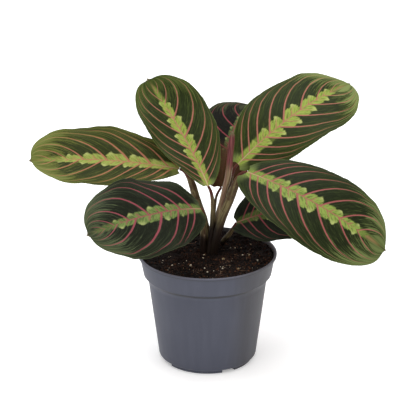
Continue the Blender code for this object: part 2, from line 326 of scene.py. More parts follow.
def pot_outside():
    """From the top of the lip down its outer side to the foot's centre."""
    quarter = math.pi / 2
    rounding = (LIP_ROUNDING, LIP_ROUNDING)
    lip = (LIP_RADIUS - LIP_ROUNDING, POT_HEIGHT - LIP_ROUNDING)
    under_lip = (LIP_RADIUS - LIP_ROUNDING, POT_HEIGHT - LIP_DEPTH)
    heel = (BODY_BOTTOM_RADIUS - HEEL[0], FOOT[1] + HEEL[1])
    foot = (FOOT[0] - LIP_ROUNDING, LIP_ROUNDING)
    return [
        (LIP_RADIUS - POT_WALL, POT_HEIGHT),
        *arc(lip, rounding, quarter, 0),
        *arc(under_lip, rounding, 0, -quarter),
        (BAND_TOP[0] + 0.2 * MM, POT_HEIGHT - LIP_DEPTH - 0.6 * MM),
        BAND_TOP,
        (BAND_BOTTOM[0] + 0.2 * MM, BAND_BOTTOM[1] + BAND_ROUNDING),
        (BAND_BOTTOM[0] + 0.08 * MM, BAND_BOTTOM[1] + 0.45 * BAND_ROUNDING),
        *reversed(shoulder()),
        *arc(heel, HEEL, 0, -quarter),
        (FOOT[0], FOOT[1]),
        *arc(foot, rounding, 0, -quarter),
        (0, 0),
    ]


def drain_cutters():
    """Wedges that open the foot's edge and the floor inside it, in one mesh."""
    bm = bmesh.new()
    for index in range(DRAINS):
        middle = FIRST_DRAIN + index * 2 * math.pi / DRAINS
        made = bmesh.ops.create_cube(bm, size=1)
        for vert in made["verts"]:
            radius = BODY_BOTTOM_RADIUS + HEEL[0] if vert.co.x > 0 else DRAIN_INNER_RADIUS
            turn = middle + math.copysign(DRAIN_WIDTH / 2, vert.co.y)
            height = DRAIN_HEIGHT if vert.co.z > 0 else -DRAIN_HEIGHT
            vert.co = Vector((radius * math.cos(turn), radius * math.sin(turn), height))
    mesh = bpy.data.meshes.new("drain_cutters")
    bm.to_mesh(mesh)
    bm.free()
    return new_object("drain_cutters", mesh)


def pot_finish():
    """Satin plastic with faint upright flow marks and a few scuffs, painted shade with a yellowish painted
    reflection on the right side, a painted highlight on the lip, painted shade under the lip and the band,
    and a darker inner wall.
    """
    material, tree = new_finish("moulded_pot_plastic")
    at = position(tree)
    x, y, z = split(at)
    flow = noise(vector("MULTIPLY", at, (1, 1, 0.06)), 150, detail=3)
    cloud = noise(at, 28, detail=2)
    grain = noise(at, 2600, detail=1)
    scuffs = ramp(noise(vector("MULTIPLY", at, (1, 1, 9)), 95, detail=4, roughness=0.7), 0.62, 0.76)
    # the right side is painted darker and less blue: painted shade with a painted reflection of yellowish
    # light
    right_side_shade = ramp(x + y * 0.25 + cloud * 0.012, 0.008, 0.036)
    # a painted highlight along the top of the lip
    painted_lip_highlight = ramp(z, POT_HEIGHT - 1.2 * MM, POT_HEIGHT - 0.2 * MM)
    # painted shade in a line under the lip, and under the band at the front where it faces the camera
    under_lip = between(z - POT_HEIGHT, -3.4 * MM, -2.2 * MM, -1.6 * MM, -1.0 * MM)
    under_band = between(z - BAND_BOTTOM[1], -4.2 * MM, -2.2 * MM, -0.6 * MM, 0.2 * MM)
    in_front = ramp(absolute(x), 0.050, 0.026)
    painted_shade_under_rim = maximum(under_lip * 0.45, under_band * 0.8 * in_front) * (0.8 + flow * 0.4)
    # the inner wall above the soil is painted darker and browner
    depth = BAND_BOTTOM[0] + (z - BAND_BOTTOM[1]) * BAND_SLOPE - in_plan(x, y)
    inside = ramp(depth, 0.6 * MM, 1.1 * MM) * ramp(z, BAND_BOTTOM[1], BAND_BOTTOM[1] + 4 * MM)
    colour = layer(
        POT_GREY_BLUE, (right_side_shade * 0.75, POT_RIGHT_SIDE_SHADE), (ramp(flow, 0.3, 0.75) * 0.22, FLOW_MARK),
        (ramp(cloud, 0.35, 0.75) * 0.18, CLOUDY_GREY), (scuffs * 0.16, SCUFF), (painted_lip_highlight * 0.25, LIP_HIGHLIGHT),
        (painted_shade_under_rim, SHADE_UNDER_RIM), (inside * (0.5 + cloud * 0.5), DARKER_INNER_WALL),
    )
    roughness = 0.46 + cloud * 0.16 + scuffs * 0.12
    return finish(material, colour, roughness, gloss=0.35, relief=grain * 0.35 + flow * 0.9, depth=0.05 * MM)


pot = new_object("nursery_pot", turned_mesh("nursery_pot", pot_inside() + pot_outside(), POT_STEPS))
cutters = drain_cutters()
drains = pot.modifiers.new("Drains", "BOOLEAN")
drains.object = cutters
drains.solver = "EXACT"
pot = bake_down(pot)
bpy.data.objects.remove(cutters, do_unlink=True)
pot.data.shade_smooth()
pot.data.set_sharp_from_angle(angle=POT_SHARP_ANGLE)
pot.data.materials.clear()
pot.data.materials.append(pot_finish())
stand_for(pot, "pot_plastic", "pot")


# ---------------------------------------------------------------------------------------------------
# Soil: damp dark peat that fills the pot to just under its lip. Crumbs, cream perlite and a few root
# fibres lie loose on its uneven top, which rises a little towards the stalks.

SOIL_EDGE = 94.5 * MM
SOIL_GAP = 0.35 * MM
SOIL_MOUND = 2.0 * MM
SOIL_TOP_RINGS = 40
SOIL_STEPS = 120
CROWN = Vector((5 * MM, 9 * MM, 0))
# distances from the axis: the soil heaps up over the first pair and evens out to the wall over the second
HEAP_RISE = (46 * MM, 55.5 * MM)
EVEN_OUT = (53 * MM, 56.3 * MM)
ANY_TURN = (6.3, 6.3, 6.3)
SPIN_SEED = 3
LENGTH_SEED = 5

PEAT = (0.0042, 0.0022, 0.0015, 1)
PEAT_BROWN = (0.036, 0.0150, 0.0080, 1)
DARK_PEAT_AND_SHADE = (0.0022, 0.0013, 0.0010, 1)
BARK_CHIP = (0.085, 0.036, 0.017, 1)
SPLINTER = (0.130, 0.088, 0.046, 1)
PERLITE = (0.66, 0.60, 0.46, 1)
PERLITE_STAIN = (0.20, 0.135, 0.060, 1)
FIBRE = (0.20, 0.11, 0.055, 1)
FIBRE_DARK = (0.045, 0.020, 0.012, 1)

greater = math_of("GREATER_THAN")


def open_tree(tree, inputs, kinds):
    """Gives a tree its inputs, as {name: default value}, and returns their wires by name."""
    for label, default in inputs.items():
        socket = tree.interface.new_socket(label, in_out="INPUT", socket_type=kinds[type(default)])
        if not isinstance(default, str):
            socket.default_value = default
    entry = tree.nodes.new("NodeGroupInput")
    return {socket.name: Wire(socket) for socket in entry.outputs if socket.name}


def new_tree(name, inputs):
    """A Geometry Nodes tree with named inputs; an empty name is the default of a material."""
    kinds = {
        float: "NodeSocketFloat", int: "NodeSocketInt", tuple: "NodeSocketVector", str: "NodeSocketMaterial",
    }
    tree = bpy.data.node_groups.new(name, "GeometryNodeTree")
    tree.is_modifier = True
    tree.interface.new_socket("Geometry", in_out="OUTPUT", socket_type="NodeSocketGeometry")
    tree.interface.new_socket("Geometry", in_out="INPUT", socket_type="NodeSocketGeometry")
    return tree, open_tree(tree, inputs, kinds)


def finish_tree(geometry, material, chosen=None, other=None):
    """Ends a tree in plain geometry with its material, and another one on the chosen faces."""
    tree = tree_of(geometry)
    solid = place(tree, "GeometryNodeRealizeInstances", Geometry=geometry)
    coated = place(tree, "GeometryNodeSetMaterial", Geometry=solid, Material=material)
    if chosen is not None:
        coated = place(tree, "GeometryNodeSetMaterial", Geometry=coated, Selection=chosen, Material=other)
    leave = tree.nodes.new("NodeGroupOutput")
    feed(leave.inputs[0], coated)
    return tree


def grow(name, tree, values, start=None):
    """Runs a tree, its inputs given by name, on a start mesh or line if it needs one; keeps the mesh."""
    obj = new_object(name, start or bpy.data.meshes.new(name))
    modifier = obj.modifiers.new(tree.name, "NODES")
    modifier.node_group = tree
    for item in tree.interface.items_tree:
        if item.in_out == "INPUT" and item.name in values:
            modifier[item.identifier] = values[item.name]
    return bake_down(obj)


def store(geometry, name, value, domain="POINT"):
    """Keeps a value for each point, face or face corner under a name, for the material to read."""
    return place(
        tree_of(geometry), "GeometryNodeStoreNamedAttribute", {"data_type": "FLOAT", "domain": domain},
        Geometry=geometry, Name=name, Value=value,
    )


def attribute(tree, name):
    """A kept value, in a tree that makes a mesh or in a material."""
    if tree.bl_idname == "GeometryNodeTree":
        return place(tree, "GeometryNodeInputNamedAttribute", {"data_type": "FLOAT"}, Name=name)
    return place(tree, "ShaderNodeAttribute", {"attribute_name": name}, output="Fac")


def join(*parts):
    """One geometry of all the parts."""
    node = tree_of(*parts).nodes.new("GeometryNodeJoinGeometry")
    for part in parts:
        feed(node.inputs[0], part)
    return Wire(node.outputs[0])


def on_top(tree, lowest, flatness):
    """Chooses what lies above this height and faces up at least this much."""
    upward = split(place(tree, "GeometryNodeInputNormal"))[2]
    return greater(upward, flatness) * greater(split(position(tree))[2], lowest)


def scatter(surface, chosen, density, seed):
    """Points laid by chance over the chosen faces, so many to the square metre."""
    return place(
        tree_of(surface), "GeometryNodeDistributePointsOnFaces", output="Points", Mesh=surface,
        Selection=chosen, Density=density, Seed=seed,
    )


def chance(tree, seed, low=0.0, high=1.0):
    """A random number for each point, or a random vector where low and high are vectors."""
    wide = isinstance(low, tuple)
    kind = {"data_type": "FLOAT_VECTOR" if wide else "FLOAT"}
    return place(tree, "FunctionNodeRandomValue", kind, output=0 if wide else 1, Min=low, Max=high, Seed=seed)


def strew(points, seed, radius, slimmest, fullest, size):
    """Lays a small angular lump on each point, turned any way, its shape by chance and its size as given."""
    tree = tree_of(points)
    return place(
        tree, "GeometryNodeInstanceOnPoints", Points=points,
        Instance=place(tree, "GeometryNodeMeshIcoSphere", Radius=radius, Subdivisions=1),
        Rotation=chance(tree, seed + 1, (0, 0, 0), ANY_TURN),
        Scale=vector("SCALE", chance(tree, seed, slimmest, fullest), scale=size),
    )


def soil_outline():
    """The pot's inside, a gap smaller all round, closed by the mound on top."""
    wall = [(max(radius - SOIL_GAP, 0), height + SOIL_GAP) for radius, height in pot_inside()[:-1]]
    low, high = pot_inside()[-2:]
    share = (SOIL_EDGE - low[1]) / (high[1] - low[1])
    edge_radius = low[0] + share * (high[0] - low[0]) - SOIL_GAP
    top = []
    for ring in range(SOIL_TOP_RINGS + 1):
        radius = edge_radius * (1 - ring / SOIL_TOP_RINGS)
        top.append((radius, SOIL_EDGE + SOIL_MOUND * (1 - (radius / edge_radius) ** 2)))
    return wall + top


def soil_bed_tree():
    """Roughens the top of the soil, heaps it a little at the wall and scatters crumbs of peat over it."""
    tree, given = new_tree("soil_bed", {
        "Edge height": SOIL_EDGE, "Relief": 4.2 * MM, "Heap": 1.2 * MM, "Crumb size": 1.9 * MM,
        "Crumbs": 330000.0, "Seed": 4, "Peat": "",
    })
    at = position(tree)
    x, y, height = split(at)
    lumps = noise(at, 120, detail=2) - 0.5
    clods = noise(at, 420, detail=3, roughness=0.6) - 0.5
    out = in_plan(x, y)
    heap = ramp(out, *HEAP_RISE) * given["Heap"]
    lift = given["Relief"] * (lumps * 0.9 + clods * 0.9) * ramp(out, EVEN_OUT[1], EVEN_OUT[0]) + heap
    bed = place(
        tree, "GeometryNodeSetPosition", Geometry=given["Geometry"],
        Selection=greater(height, given["Edge height"] + 0.02 * MM), Offset=combine(z=lift),
    )
    chosen = on_top(tree, given["Edge height"] - 0.5 * MM, 0.35)
    even = chance(tree, given["Seed"] + 2)
    points = store(scatter(bed, chosen, given["Crumbs"], given["Seed"]), "tone", even)
    crumbs = strew(
        points, given["Seed"], given["Crumb size"], (0.35, 0.35, 0.3), (1.1, 0.9, 0.8),
        size=0.24 + 0.85 * even ** 4.0,
    )
    return finish_tree(join(bed, crumbs), given["Peat"])


def peat_finish():
    """Near-black peat with red-brown flecks, chips of bark and pale splinters, damp in patches at random and
    with painted shade towards the back and left.
    """
    material, tree = new_finish("damp_peat")
    at = position(tree)
    x, y, _ = split(at)
    flecks = noise(at, 700, detail=3, roughness=0.7)
    patches = noise(at, 60, detail=3)
    tone = attribute(tree, "tone")
    # darker in patches at random, and painted shade that deepens towards the back and left, dimming the chips
    # and splinters too
    drier_and_lit = ramp(noise(at, 75, detail=2) + (x - y) * 2.2, 0.42, 0.72)
    chip = between(tone, 0.80, 0.83, 0.90, 0.93)
    splinter = between(tone, 0.30, 0.34, 0.36, 0.40)
    colour = layer(
        PEAT, (ramp(flecks * 0.9 + patches * 0.5, 0.66, 0.92), PEAT_BROWN), ((1.0 - drier_and_lit) * 0.62, DARK_PEAT_AND_SHADE),
        (chip * (0.30 + drier_and_lit * 0.55), BARK_CHIP), (splinter * (0.2 + drier_and_lit * 0.7), SPLINTER),
    )
    relief = noise(at, 2200, detail=3)
    return finish(material, colour, 0.75 + patches * 0.3, gloss=0.12, relief=relief, depth=0.25 * MM)


def grain_tree():
    """Scatters angular grains of random size over the soil's top, more of them to the front and right."""
    tree, given = new_tree("perlite_grains", {
        "Edge height": SOIL_EDGE, "Grain size": 1.9 * MM, "Grains": 26000.0, "Clear of crown": 15 * MM,
        "Seed": 12, "Grain": "",
    })
    x, y, _ = split(position(tree))
    clear = greater(in_plan(x - CROWN.x, y - CROWN.y), given["Clear of crown"])
    chosen = on_top(tree, given["Edge height"], 0.6) * clear
    density = given["Grains"] * (0.15 + ramp(x * 0.5 - y, -0.02, 0.055))
    grains = strew(
        scatter(given["Geometry"], chosen, density, given["Seed"]), given["Seed"],
        given["Grain size"], (0.7, 0.7, 0.55), (1.1, 1.0, 0.9),
        size=0.20 + 0.8 * chance(tree, given["Seed"] + 2) ** 7.0,
    )
    return finish_tree(grains, given["Grain"])


def perlite_finish():
    """Chalky cream, stained by the peat in places."""
    material, tree = new_finish("cream_perlite")
    at = position(tree)
    colour = blend(ramp(noise(at, 260, detail=2), 0.40, 0.62), PERLITE_STAIN, PERLITE)
    return finish(material, colour, 0.9, relief=noise(at, 3000, detail=2), depth=0.15 * MM)


def fibre_tree():
    """Lays short crooked fibres on the soil: each is a line bent by noise and given a round section."""
    tree, given = new_tree("root_fibres", {
        "Edge height": SOIL_EDGE, "Fibre length": 9 * MM, "Thickness": 0.16 * MM, "Fibres": 5200.0,
        "Seed": 21, "Fibre": "",
    })
    chosen = on_top(tree, given["Edge height"], 0.6)
    half = given["Fibre length"] * 0.5
    line = place(
        tree, "GeometryNodeCurvePrimitiveLine", Start=combine(half * -1.0), End=combine(half),
    )
    length = chance(tree, LENGTH_SEED, 0.3, 1.2)
    laid = place(
        tree, "GeometryNodeInstanceOnPoints",
        Points=scatter(given["Geometry"], chosen, given["Fibres"], given["Seed"]),
        Instance=place(tree, "GeometryNodeResampleCurve", Curve=line, Count=9),
        Rotation=combine(z=chance(tree, SPIN_SEED, 0.0, ANY_TURN[2])),
        Scale=combine(length, length, length),
    )
    laid = place(tree, "GeometryNodeRealizeInstances", Geometry=laid)
    wander = place(tree, "ShaderNodeTexNoise", output="Color", Vector=position(tree), Scale=170, Detail=1)
    crooked = vector("MULTIPLY", vector("SUBTRACT", wander, (0.5, 0.5, 0.45)), (9 * MM, 9 * MM, 2.4 * MM))
    laid = place(tree, "GeometryNodeSetPosition", Geometry=laid, Offset=crooked)
    ring = place(tree, "GeometryNodeCurvePrimitiveCircle", Resolution=5, Radius=given["Thickness"])
    tubes = place(tree, "GeometryNodeCurveToMesh", Curve=laid, Profile_Curve=ring, Fill_Caps=True)
    return finish_tree(tubes, given["Fibre"])


def fibre_finish():
    """Dry brown, darker in places."""
    material, tree = new_finish("dry_root_fibre")
    colour = blend(ramp(noise(position(tree), 140), 0.35, 0.65), FIBRE_DARK, FIBRE)
    return finish(material, colour, 0.8)


plug = turned_mesh("soil_bed", soil_outline(), SOIL_STEPS)
soil = grow("soil_bed", soil_bed_tree(), {"Peat": peat_finish()}, start=plug.copy())
perlite = grow("soil_perlite", grain_tree(), {"Grain": perlite_finish()}, start=plug.copy())
fibres = grow("soil_fibres", fibre_tree(), {"Fibre": fibre_finish()}, start=plug)
stand_for(soil, "potting_soil", "soil")
stand_for(perlite, "potting_soil")
stand_for(fibres, "potting_soil")


# ---------------------------------------------------------------------------------------------------
# Leaf blades: seven thin, softly folded leaves. Each grows as one sheet from its stalk, its midrib bends
# over, its halves rise and ripple a little and side ribs run from the midrib in a sweep to the tip.

RIBS = 8
BLADE_ROWS = 241
BLADE_COLUMNS = 101
# the tree's inputs with a plain blade's values, and those that each of its two halves has for itself
BLADE_INPUTS = {
    "Base": (0.0, 0.0, 0.0), "Ahead": (1.0, 0.0, 0.0), "Left": (0.0, 1.0, 0.0), "Up": (0.0, 0.0, 1.0),
    "Inward": (0.0, 0.0, 1.0), "Bend": 0.5, "Length": 0.13, "Half width": 0.034, "Widest": 1.2,
    "Bluntness": 0.4, "Fold": 0.2, "Curl": 0.1, "Wave": 1.5 * MM, "Wave count": 2.5, "Ripple": 2.6 * MM,
    "Tip paleness": 0.8, "Quilting": 0.28 * MM, "Thickness": 0.5 * MM, "Midrib ridge": 0.9 * MM,
    "Upper side": "", "Underside": "",
}
HALF_INPUTS = {"phase": 0.0, "lobe": 2.4 * MM, "slant": 0.08, "sweep": 0.25, "band": 0.2}
# Each blade: where it meets its stalk, the way it heads, its size and bend, where its side ribs leave the
# midrib as shares of its length, and how they slant and sweep. Angles in degrees, lengths in millimetres.
BLADES = {
    "left_upper": dict(
        finish="sunlit", base=(-24.5, 20.5, 167), heading=152.5, pitch=1, roll=-27,
        length=132, half_width=34.5, widest=1.29, bluntness=0.39, droop=-22, sweep=40,
        fold=0.22, curl=0.05, wave=1.5, wave_count=2.8, phases=(170, 310),
        slants=(0.03, 0.33, 0.17, 0.11), lobes=(5.5, 3.5), bands=(0.21, 0.19), tip_paleness=0.75,
        left_ribs=(0.045, 0.10, 0.185, 0.27, 0.38, 0.53, 0.68, 0.84),
        right_ribs=(-0.02, 0.075, 0.205, 0.35, 0.50, 0.655, 0.765, 0.87),
    ),
    "top_left": dict(
        finish="olive", base=(0.5, -1, 159.5), heading=106.5, pitch=20.5, roll=-8.5,
        length=131, half_width=30.5, widest=1.41, bluntness=0.39, droop=-20, sweep=17,
        fold=0.33, curl=-0.02, wave=2, wave_count=2.1, phases=(350, 190),
        slants=(0.08, 0.30, 0.085, 0.20), lobes=(2.4, 2.4), bands=(0.22, 0.20), tip_paleness=0.35,
        left_ribs=(-0.02, 0.055, 0.135, 0.235, 0.36, 0.505, 0.65, 0.81),
        right_ribs=(0.03, 0.10, 0.195, 0.315, 0.47, 0.65, 0.78, 0.88),
    ),
    "back_centre": dict(
        finish="shaded", base=(12, 27, 148), heading=85.5, pitch=38, roll=-2.5,
        length=122, half_width=34.5, widest=1.08, bluntness=0.44, droop=38, sweep=-17,
        fold=0.23, curl=0.07, wave=1.5, wave_count=2.6, phases=(320, 0),
        slants=(0.07, 0.18, 0.10, 0.22), lobes=(2.2, 2.2), bands=(0.10, 0.15), tip_paleness=0.7,
        left_ribs=(0.04, 0.09, 0.16, 0.25, 0.35, 0.47, 0.61, 0.76),
        right_ribs=(0.05, 0.11, 0.19, 0.29, 0.40, 0.53, 0.67, 0.80),
    ),
    "top_right": dict(
        finish="olive", base=(26, 17.5, 172.5), heading=12.5, pitch=45.5, roll=31.5,
        length=137, half_width=41.5, widest=1.06, bluntness=0.53, droop=57, sweep=15,
        fold=0.17, curl=0.14, wave=3.5, wave_count=1.5, phases=(320, 200),
        slants=(0.075, 0.45, 0.09, 0.21), lobes=(4.0, 4.0), bands=(0.185, 0.26), tip_paleness=1.0,
        left_ribs=(0.045, 0.105, 0.18, 0.28, 0.395, 0.54, 0.68, 0.81),
        right_ribs=(0.035, 0.09, 0.16, 0.245, 0.35, 0.475, 0.61, 0.74),
    ),
    "right_front": dict(
        finish="deep", base=(33.5, -10, 175.5), heading=-46.5, pitch=1, roll=25.5,
        length=141, half_width=39.5, widest=1.23, bluntness=0.39, droop=65, sweep=21,
        fold=0.12, curl=0.19, wave=2.5, wave_count=1.2, phases=(50, 310),
        slants=(0.08, 0.21, 0.08, 0.21), lobes=(5.0, 7.5), bands=(0.17, 0.24), tip_paleness=0.8,
        left_ribs=(0.045, 0.11, 0.19, 0.30, 0.41, 0.53, 0.67, 0.80),
        right_ribs=(0.03, 0.09, 0.165, 0.26, 0.375, 0.51, 0.66, 0.79),
    ),
    "left_front": dict(
        finish="dark", base=(-5.5, -15, 144), heading=236.5, pitch=19, roll=-47.5,
        length=135, half_width=35.5, widest=1.18, bluntness=0.39, droop=29, sweep=6,
        fold=0.13, curl=0.16, wave=4, wave_count=2.1, phases=(90, 350),
        slants=(0.07, 0.30, 0.13, 0.12), lobes=(3.0, 3.0), bands=(0.20, 0.165), tip_paleness=0.75,
        left_ribs=(0.085, 0.15, 0.25, 0.41, 0.635, 0.785, 0.88, 0.94),
        right_ribs=(0.10, 0.225, 0.35, 0.52, 0.69, 0.81, 0.89, 0.95),
    ),
    "right_low": dict(
        finish="low", base=(25, 16, 119), heading=-18, pitch=28.5, roll=48.5,
        length=89, half_width=30, widest=1.09, bluntness=0.48, droop=6, sweep=-27,
        fold=0.27, curl=0.04, wave=2, wave_count=2.4, phases=(130, 340),
        slants=(0.10, 0.30, 0.10, 0.30), lobes=(2.5, 5.5), bands=(0.19, 0.19), tip_paleness=0.7,
        left_ribs=(0.07, 0.16, 0.27, 0.39, 0.51, 0.63, 0.75, 0.86),
        right_ribs=(0.03, 0.12, 0.25, 0.38, 0.50, 0.62, 0.74, 0.85),
    ),
}
BASE_HALF_WIDTH = 2.2 * MM
TIP_HALF_WIDTH = 1.0 * MM
TIP_POINT = 2.8 * MM
TIP_POINT_LENGTH = 3.0 * MM
MIDRIB_SOFTNESS = 0.05
WAVE_FADE = 6.0
MERGE_GAP = 0.0004 * MM
END_TAPER = 0.01  # share of the length over which the blade thins out at each end
EDGE_UNEVENNESS = 0.07
MIDRIB_RIDGE_WIDTH = 1.3 * MM
CELL_START = (0.8 * MM, 5 * MM)  # the cells between the ribs swell up over this distance from the midrib
MIDRIB_PAINT = (0.35 * MM, 0.85 * MM)
BLADE_SHARP_ANGLE = math.radians(60)
# the colours of each blade's upper side: its dark ground, olive, margin, lime band and ribs
# the sets are one leaf's colours painted lighter or darker for the light on each blade, from sunlit down to
# shaded
UPPER_SIDES_BY_LIGHT = {
    "sunlit": (
        (0.0150, 0.0205, 0.0011, 1), (0.088, 0.101, 0.0150, 1), (0.150, 0.172, 0.045, 1),
        (0.240, 0.290, 0.060, 1), (0.330, 0.118, 0.070, 1),
    ),
    "olive": (
        (0.0098, 0.0155, 0.0010, 1), (0.044, 0.061, 0.0085, 1), (0.150, 0.185, 0.055, 1),
        (0.225, 0.292, 0.048, 1), (0.315, 0.105, 0.080, 1),
    ),
    "deep": (
        (0.0066, 0.0105, 0.0014, 1), (0.028, 0.040, 0.0090, 1), (0.120, 0.150, 0.048, 1),
        (0.190, 0.260, 0.050, 1), (0.280, 0.074, 0.072, 1),
    ),
    "dark": (
        (0.0060, 0.0078, 0.0034, 1), (0.023, 0.030, 0.014, 1), (0.075, 0.095, 0.042, 1),
        (0.125, 0.180, 0.046, 1), (0.240, 0.050, 0.066, 1),
    ),
    "low": (
        (0.0065, 0.0085, 0.0045, 1), (0.020, 0.028, 0.013, 1), (0.062, 0.085, 0.034, 1),
        (0.080, 0.125, 0.028, 1), (0.235, 0.052, 0.060, 1),
    ),
    "shaded": (
        (0.0045, 0.0042, 0.0030, 1), (0.014, 0.015, 0.008, 1), (0.050, 0.058, 0.026, 1),
        (0.080, 0.110, 0.034, 1), (0.210, 0.042, 0.050, 1),
    ),
}
OLIVE_SIDES = ("olive", "sunlit")
# how pale each blade's foot is, how much painted shade with a red reflection lies on it, and its gloss, where
# they aren't the plain ones
PALE_FEET = {"deep": 0.6, "dark": 0.38, "low": 0.2, "shaded": 0.1}
SHADED_FEET = {"shaded": 0.9}
GLOSS = {"shaded": 0.03}
PLAIN_GLOSS = 0.08
LIME_TOOTH = (0.42, 0.43, 0.17, 1)
PALE_MIDRIB = (0.38, 0.32, 0.15, 1)
# painted shade with a red reflection, laid on the foot of the shaded blade
SHADED_FOOT_RED = (0.058, 0.026, 0.010, 1)
MAROON_DARK = (0.090, 0.012, 0.022, 1)
MAROON = (0.165, 0.030, 0.045, 1)
UNDER_RIM = (0.12, 0.13, 0.05, 1)
UNDER_RIBS = (0.26, 0.10, 0.085, 1)
UNDER_MIDRIB = (0.27, 0.24, 0.10, 1)

sine, cosine, exponent, fraction, minimum, logarithm = map(
    math_of, ("SINE", "COSINE", "EXPONENT", "FRACT", "MINIMUM", "LOGARITHM"),
)


def pick(side, right, left):
    """The right value where side is 0, the left one where it is 1."""
    return right + (left - right) * side


def ribs_before(place_along, rib_places):
    """How many side ribs leave the midrib before this place, with the share of the way to the next one."""
    count, last, gap = 0.0, -0.05, None
    for rib_place in rib_places:
        count = ramp(place_along, last, rib_place, smooth=False) + count
        gap = rib_place - last
        last = rib_place
    return count + minimum(ramp(place_along, last, last + gap, smooth=False), 0.45)


def push_out(surface, height):
    """Moves a surface outwards by this height."""
    tree = tree_of(surface)
    offset = vector("SCALE", place(tree, "GeometryNodeInputNormal"), scale=height)
    return place(tree, "GeometryNodeSetPosition", Geometry=surface, Offset=offset)


def blade_tree():
    """Grows one blade with its side ribs; the shares along and across it and the ribs' count are kept."""
    inputs = dict(BLADE_INPUTS)
    for side in ("Left", "Right"):
        inputs.update({f"{side} {name}": value for name, value in HALF_INPUTS.items()})
        inputs.update({f"{side} rib {number}": number / 10 for number in range(1, RIBS + 1)})
    tree, given = new_tree("leaf_blade", inputs)
    sheet = place(
        tree, "GeometryNodeMeshGrid", Size_X=1.0, Size_Y=2.0, Vertices_X=BLADE_ROWS, Vertices_Y=BLADE_COLUMNS,
    )
    x, y, _ = split(position(tree))
    sheet = store(sheet, "along", (1.0 - cosine((x + 0.5) * math.pi)) * 0.5)
    sheet = store(sheet, "across", y)
    u = attribute(tree, "along")
    v = attribute(tree, "across")
    aside = absolute(v)

    def of_half(side, name):
        """The input of the half that the point is in."""
        return pick(side, given[f"Right {name}"], given[f"Left {name}"])

    # the side ribs: where the rib through each point leaves the midrib, and its count from the base
    face_v = place(tree, "GeometryNodeFieldOnDomain", {"data_type": "FLOAT", "domain": "FACE"}, Value=v)
    face_side = greater(face_v, 0.0)
    spread = logarithm(1.0 - minimum(aside, 0.985), math.e) * -1.0
    start = (u - of_half(face_side, "slant") * spread) / (1.0 + of_half(face_side, "sweep") * spread)
    rib_places = [of_half(face_side, f"rib {number}") for number in range(1, RIBS + 1)]
    kept = {
        "rib_start": start, "rib_count": ribs_before(start, rib_places),
        "rib_ahead": ribs_before(u, rib_places), "band": of_half(face_side, "band"),
        "tip_paleness": given["Tip paleness"],
    }
    for name, value in kept.items():
        sheet = store(sheet, name, value, domain="CORNER")

    # the outline: half the width at each place along, with a faintly uneven edge, lobes and a short point
    edge_noise = noise(combine(u * 13.0, v * 2.0, given["Length"] * 400.0), 1.0, detail=3)
    ripple_noise = noise(combine(u * 8.0, v * 1.6, given["Length"] * 700.0), 1.0, detail=2)
    swell = sine(math.pi * (u ** given["Widest"]))
    reach = given["Half width"] * (maximum(swell, 0.0) ** given["Bluntness"])
    reach = maximum(reach, BASE_HALF_WIDTH + (TIP_HALF_WIDTH - BASE_HALF_WIDTH) * u)
    reach = reach * (1.0 + (edge_noise - 0.5) * EDGE_UNEVENNESS)
    side = greater(v, 0.0)
    lobes = of_half(side, "lobe") * -1.0 * (1.0 - u) ** 6.0 * aside ** 2.0 * ramp(u, 0.0, 0.012)
    beyond = (1.0 - u) * given["Length"] / TIP_POINT_LENGTH
    point = TIP_POINT * exponent(beyond * beyond * -1.0) * (1.0 - aside) ** 2.5

    # the halves: folded up from the midrib, curled down again, waved and rippled
    rise = given["Fold"] * ((v * v + MIDRIB_SOFTNESS**2) ** 0.5 - MIDRIB_SOFTNESS) - given["Curl"] * v * v
    swing = sine(given["Wave count"] * u * (2 * math.pi) + of_half(side, "phase"))
    wave = given["Wave"] * v * v * swing * minimum(WAVE_FADE * u * (1.0 - u), 1.0)
    wave = wave + given["Ripple"] * (ripple_noise - 0.5) * aside ** 2.5 * minimum(u * 12.0, 1.0)

    # the midrib: an even bend, to which each cross-section stays square
    turn = given["Bend"] * u
    radius = given["Length"] / given["Bend"]
    midrib = vector(
        "ADD", vector("SCALE", given["Ahead"], scale=radius * sine(turn)),
        vector("SCALE", given["Inward"], scale=radius * (1.0 - cosine(turn))),
    )
    off = vector(
        "ADD", vector("SCALE", given["Ahead"], scale=lobes + point),
        vector(
            "ADD", vector("SCALE", given["Left"], scale=reach * v),
            vector("SCALE", given["Up"], scale=reach * rise + wave),
        ),
    )
    turned = place(
        tree, "ShaderNodeVectorRotate", {"rotation_type": "AXIS_ANGLE"}, Vector=off, Angle=turn,
        Axis=vector("CROSS_PRODUCT", given["Ahead"], given["Inward"]),
    )
    spot = vector("ADD", given["Base"], vector("ADD", midrib, turned))
    sheet = store(sheet, "offset", reach * v)
    sheet = place(tree, "GeometryNodeSetPosition", Geometry=sheet, Position=spot)

    # the relief: cells swell softly between the ribs; underneath, the midrib and the ribs stand out
    offset = attribute(tree, "offset")
    cell = absolute(sine(attribute(tree, "rib_count") * math.pi)) ** 0.7
    inner = ramp(absolute(offset), *CELL_START) * ramp(aside, 0.97, 0.7)
    crest = exponent((offset / MIDRIB_RIDGE_WIDTH) ** 2.0 * -1.0) * (1.0 - u * 0.75)
    lift = given["Quilting"] * cell * inner - given["Quilting"] * crest
    top = push_out(sheet, lift)
    ends = ramp(u, 0.0, END_TAPER, smooth=False) * ramp(u, 1.0, 1.0 - END_TAPER, smooth=False)
    body = ramp(aside, 1.0, 0.955) * ends
    ridge = given["Midrib ridge"] * crest + given["Quilting"] * ramp(cell, 0.35, 0.0) * inner
    depth = (given["Thickness"] + ridge) * body - lift
    under = place(tree, "GeometryNodeFlipFaces", Mesh=push_out(sheet, depth * -1.0))
    under = store(under, "underside", 1.0, domain="FACE")
    closed = place(
        tree, "GeometryNodeMergeByDistance", Geometry=join(top, under), Distance=MERGE_GAP,
    )
    below = greater(attribute(tree, "underside"), 0.5)
    return finish_tree(closed, given["Upper side"], below, given["Underside"])


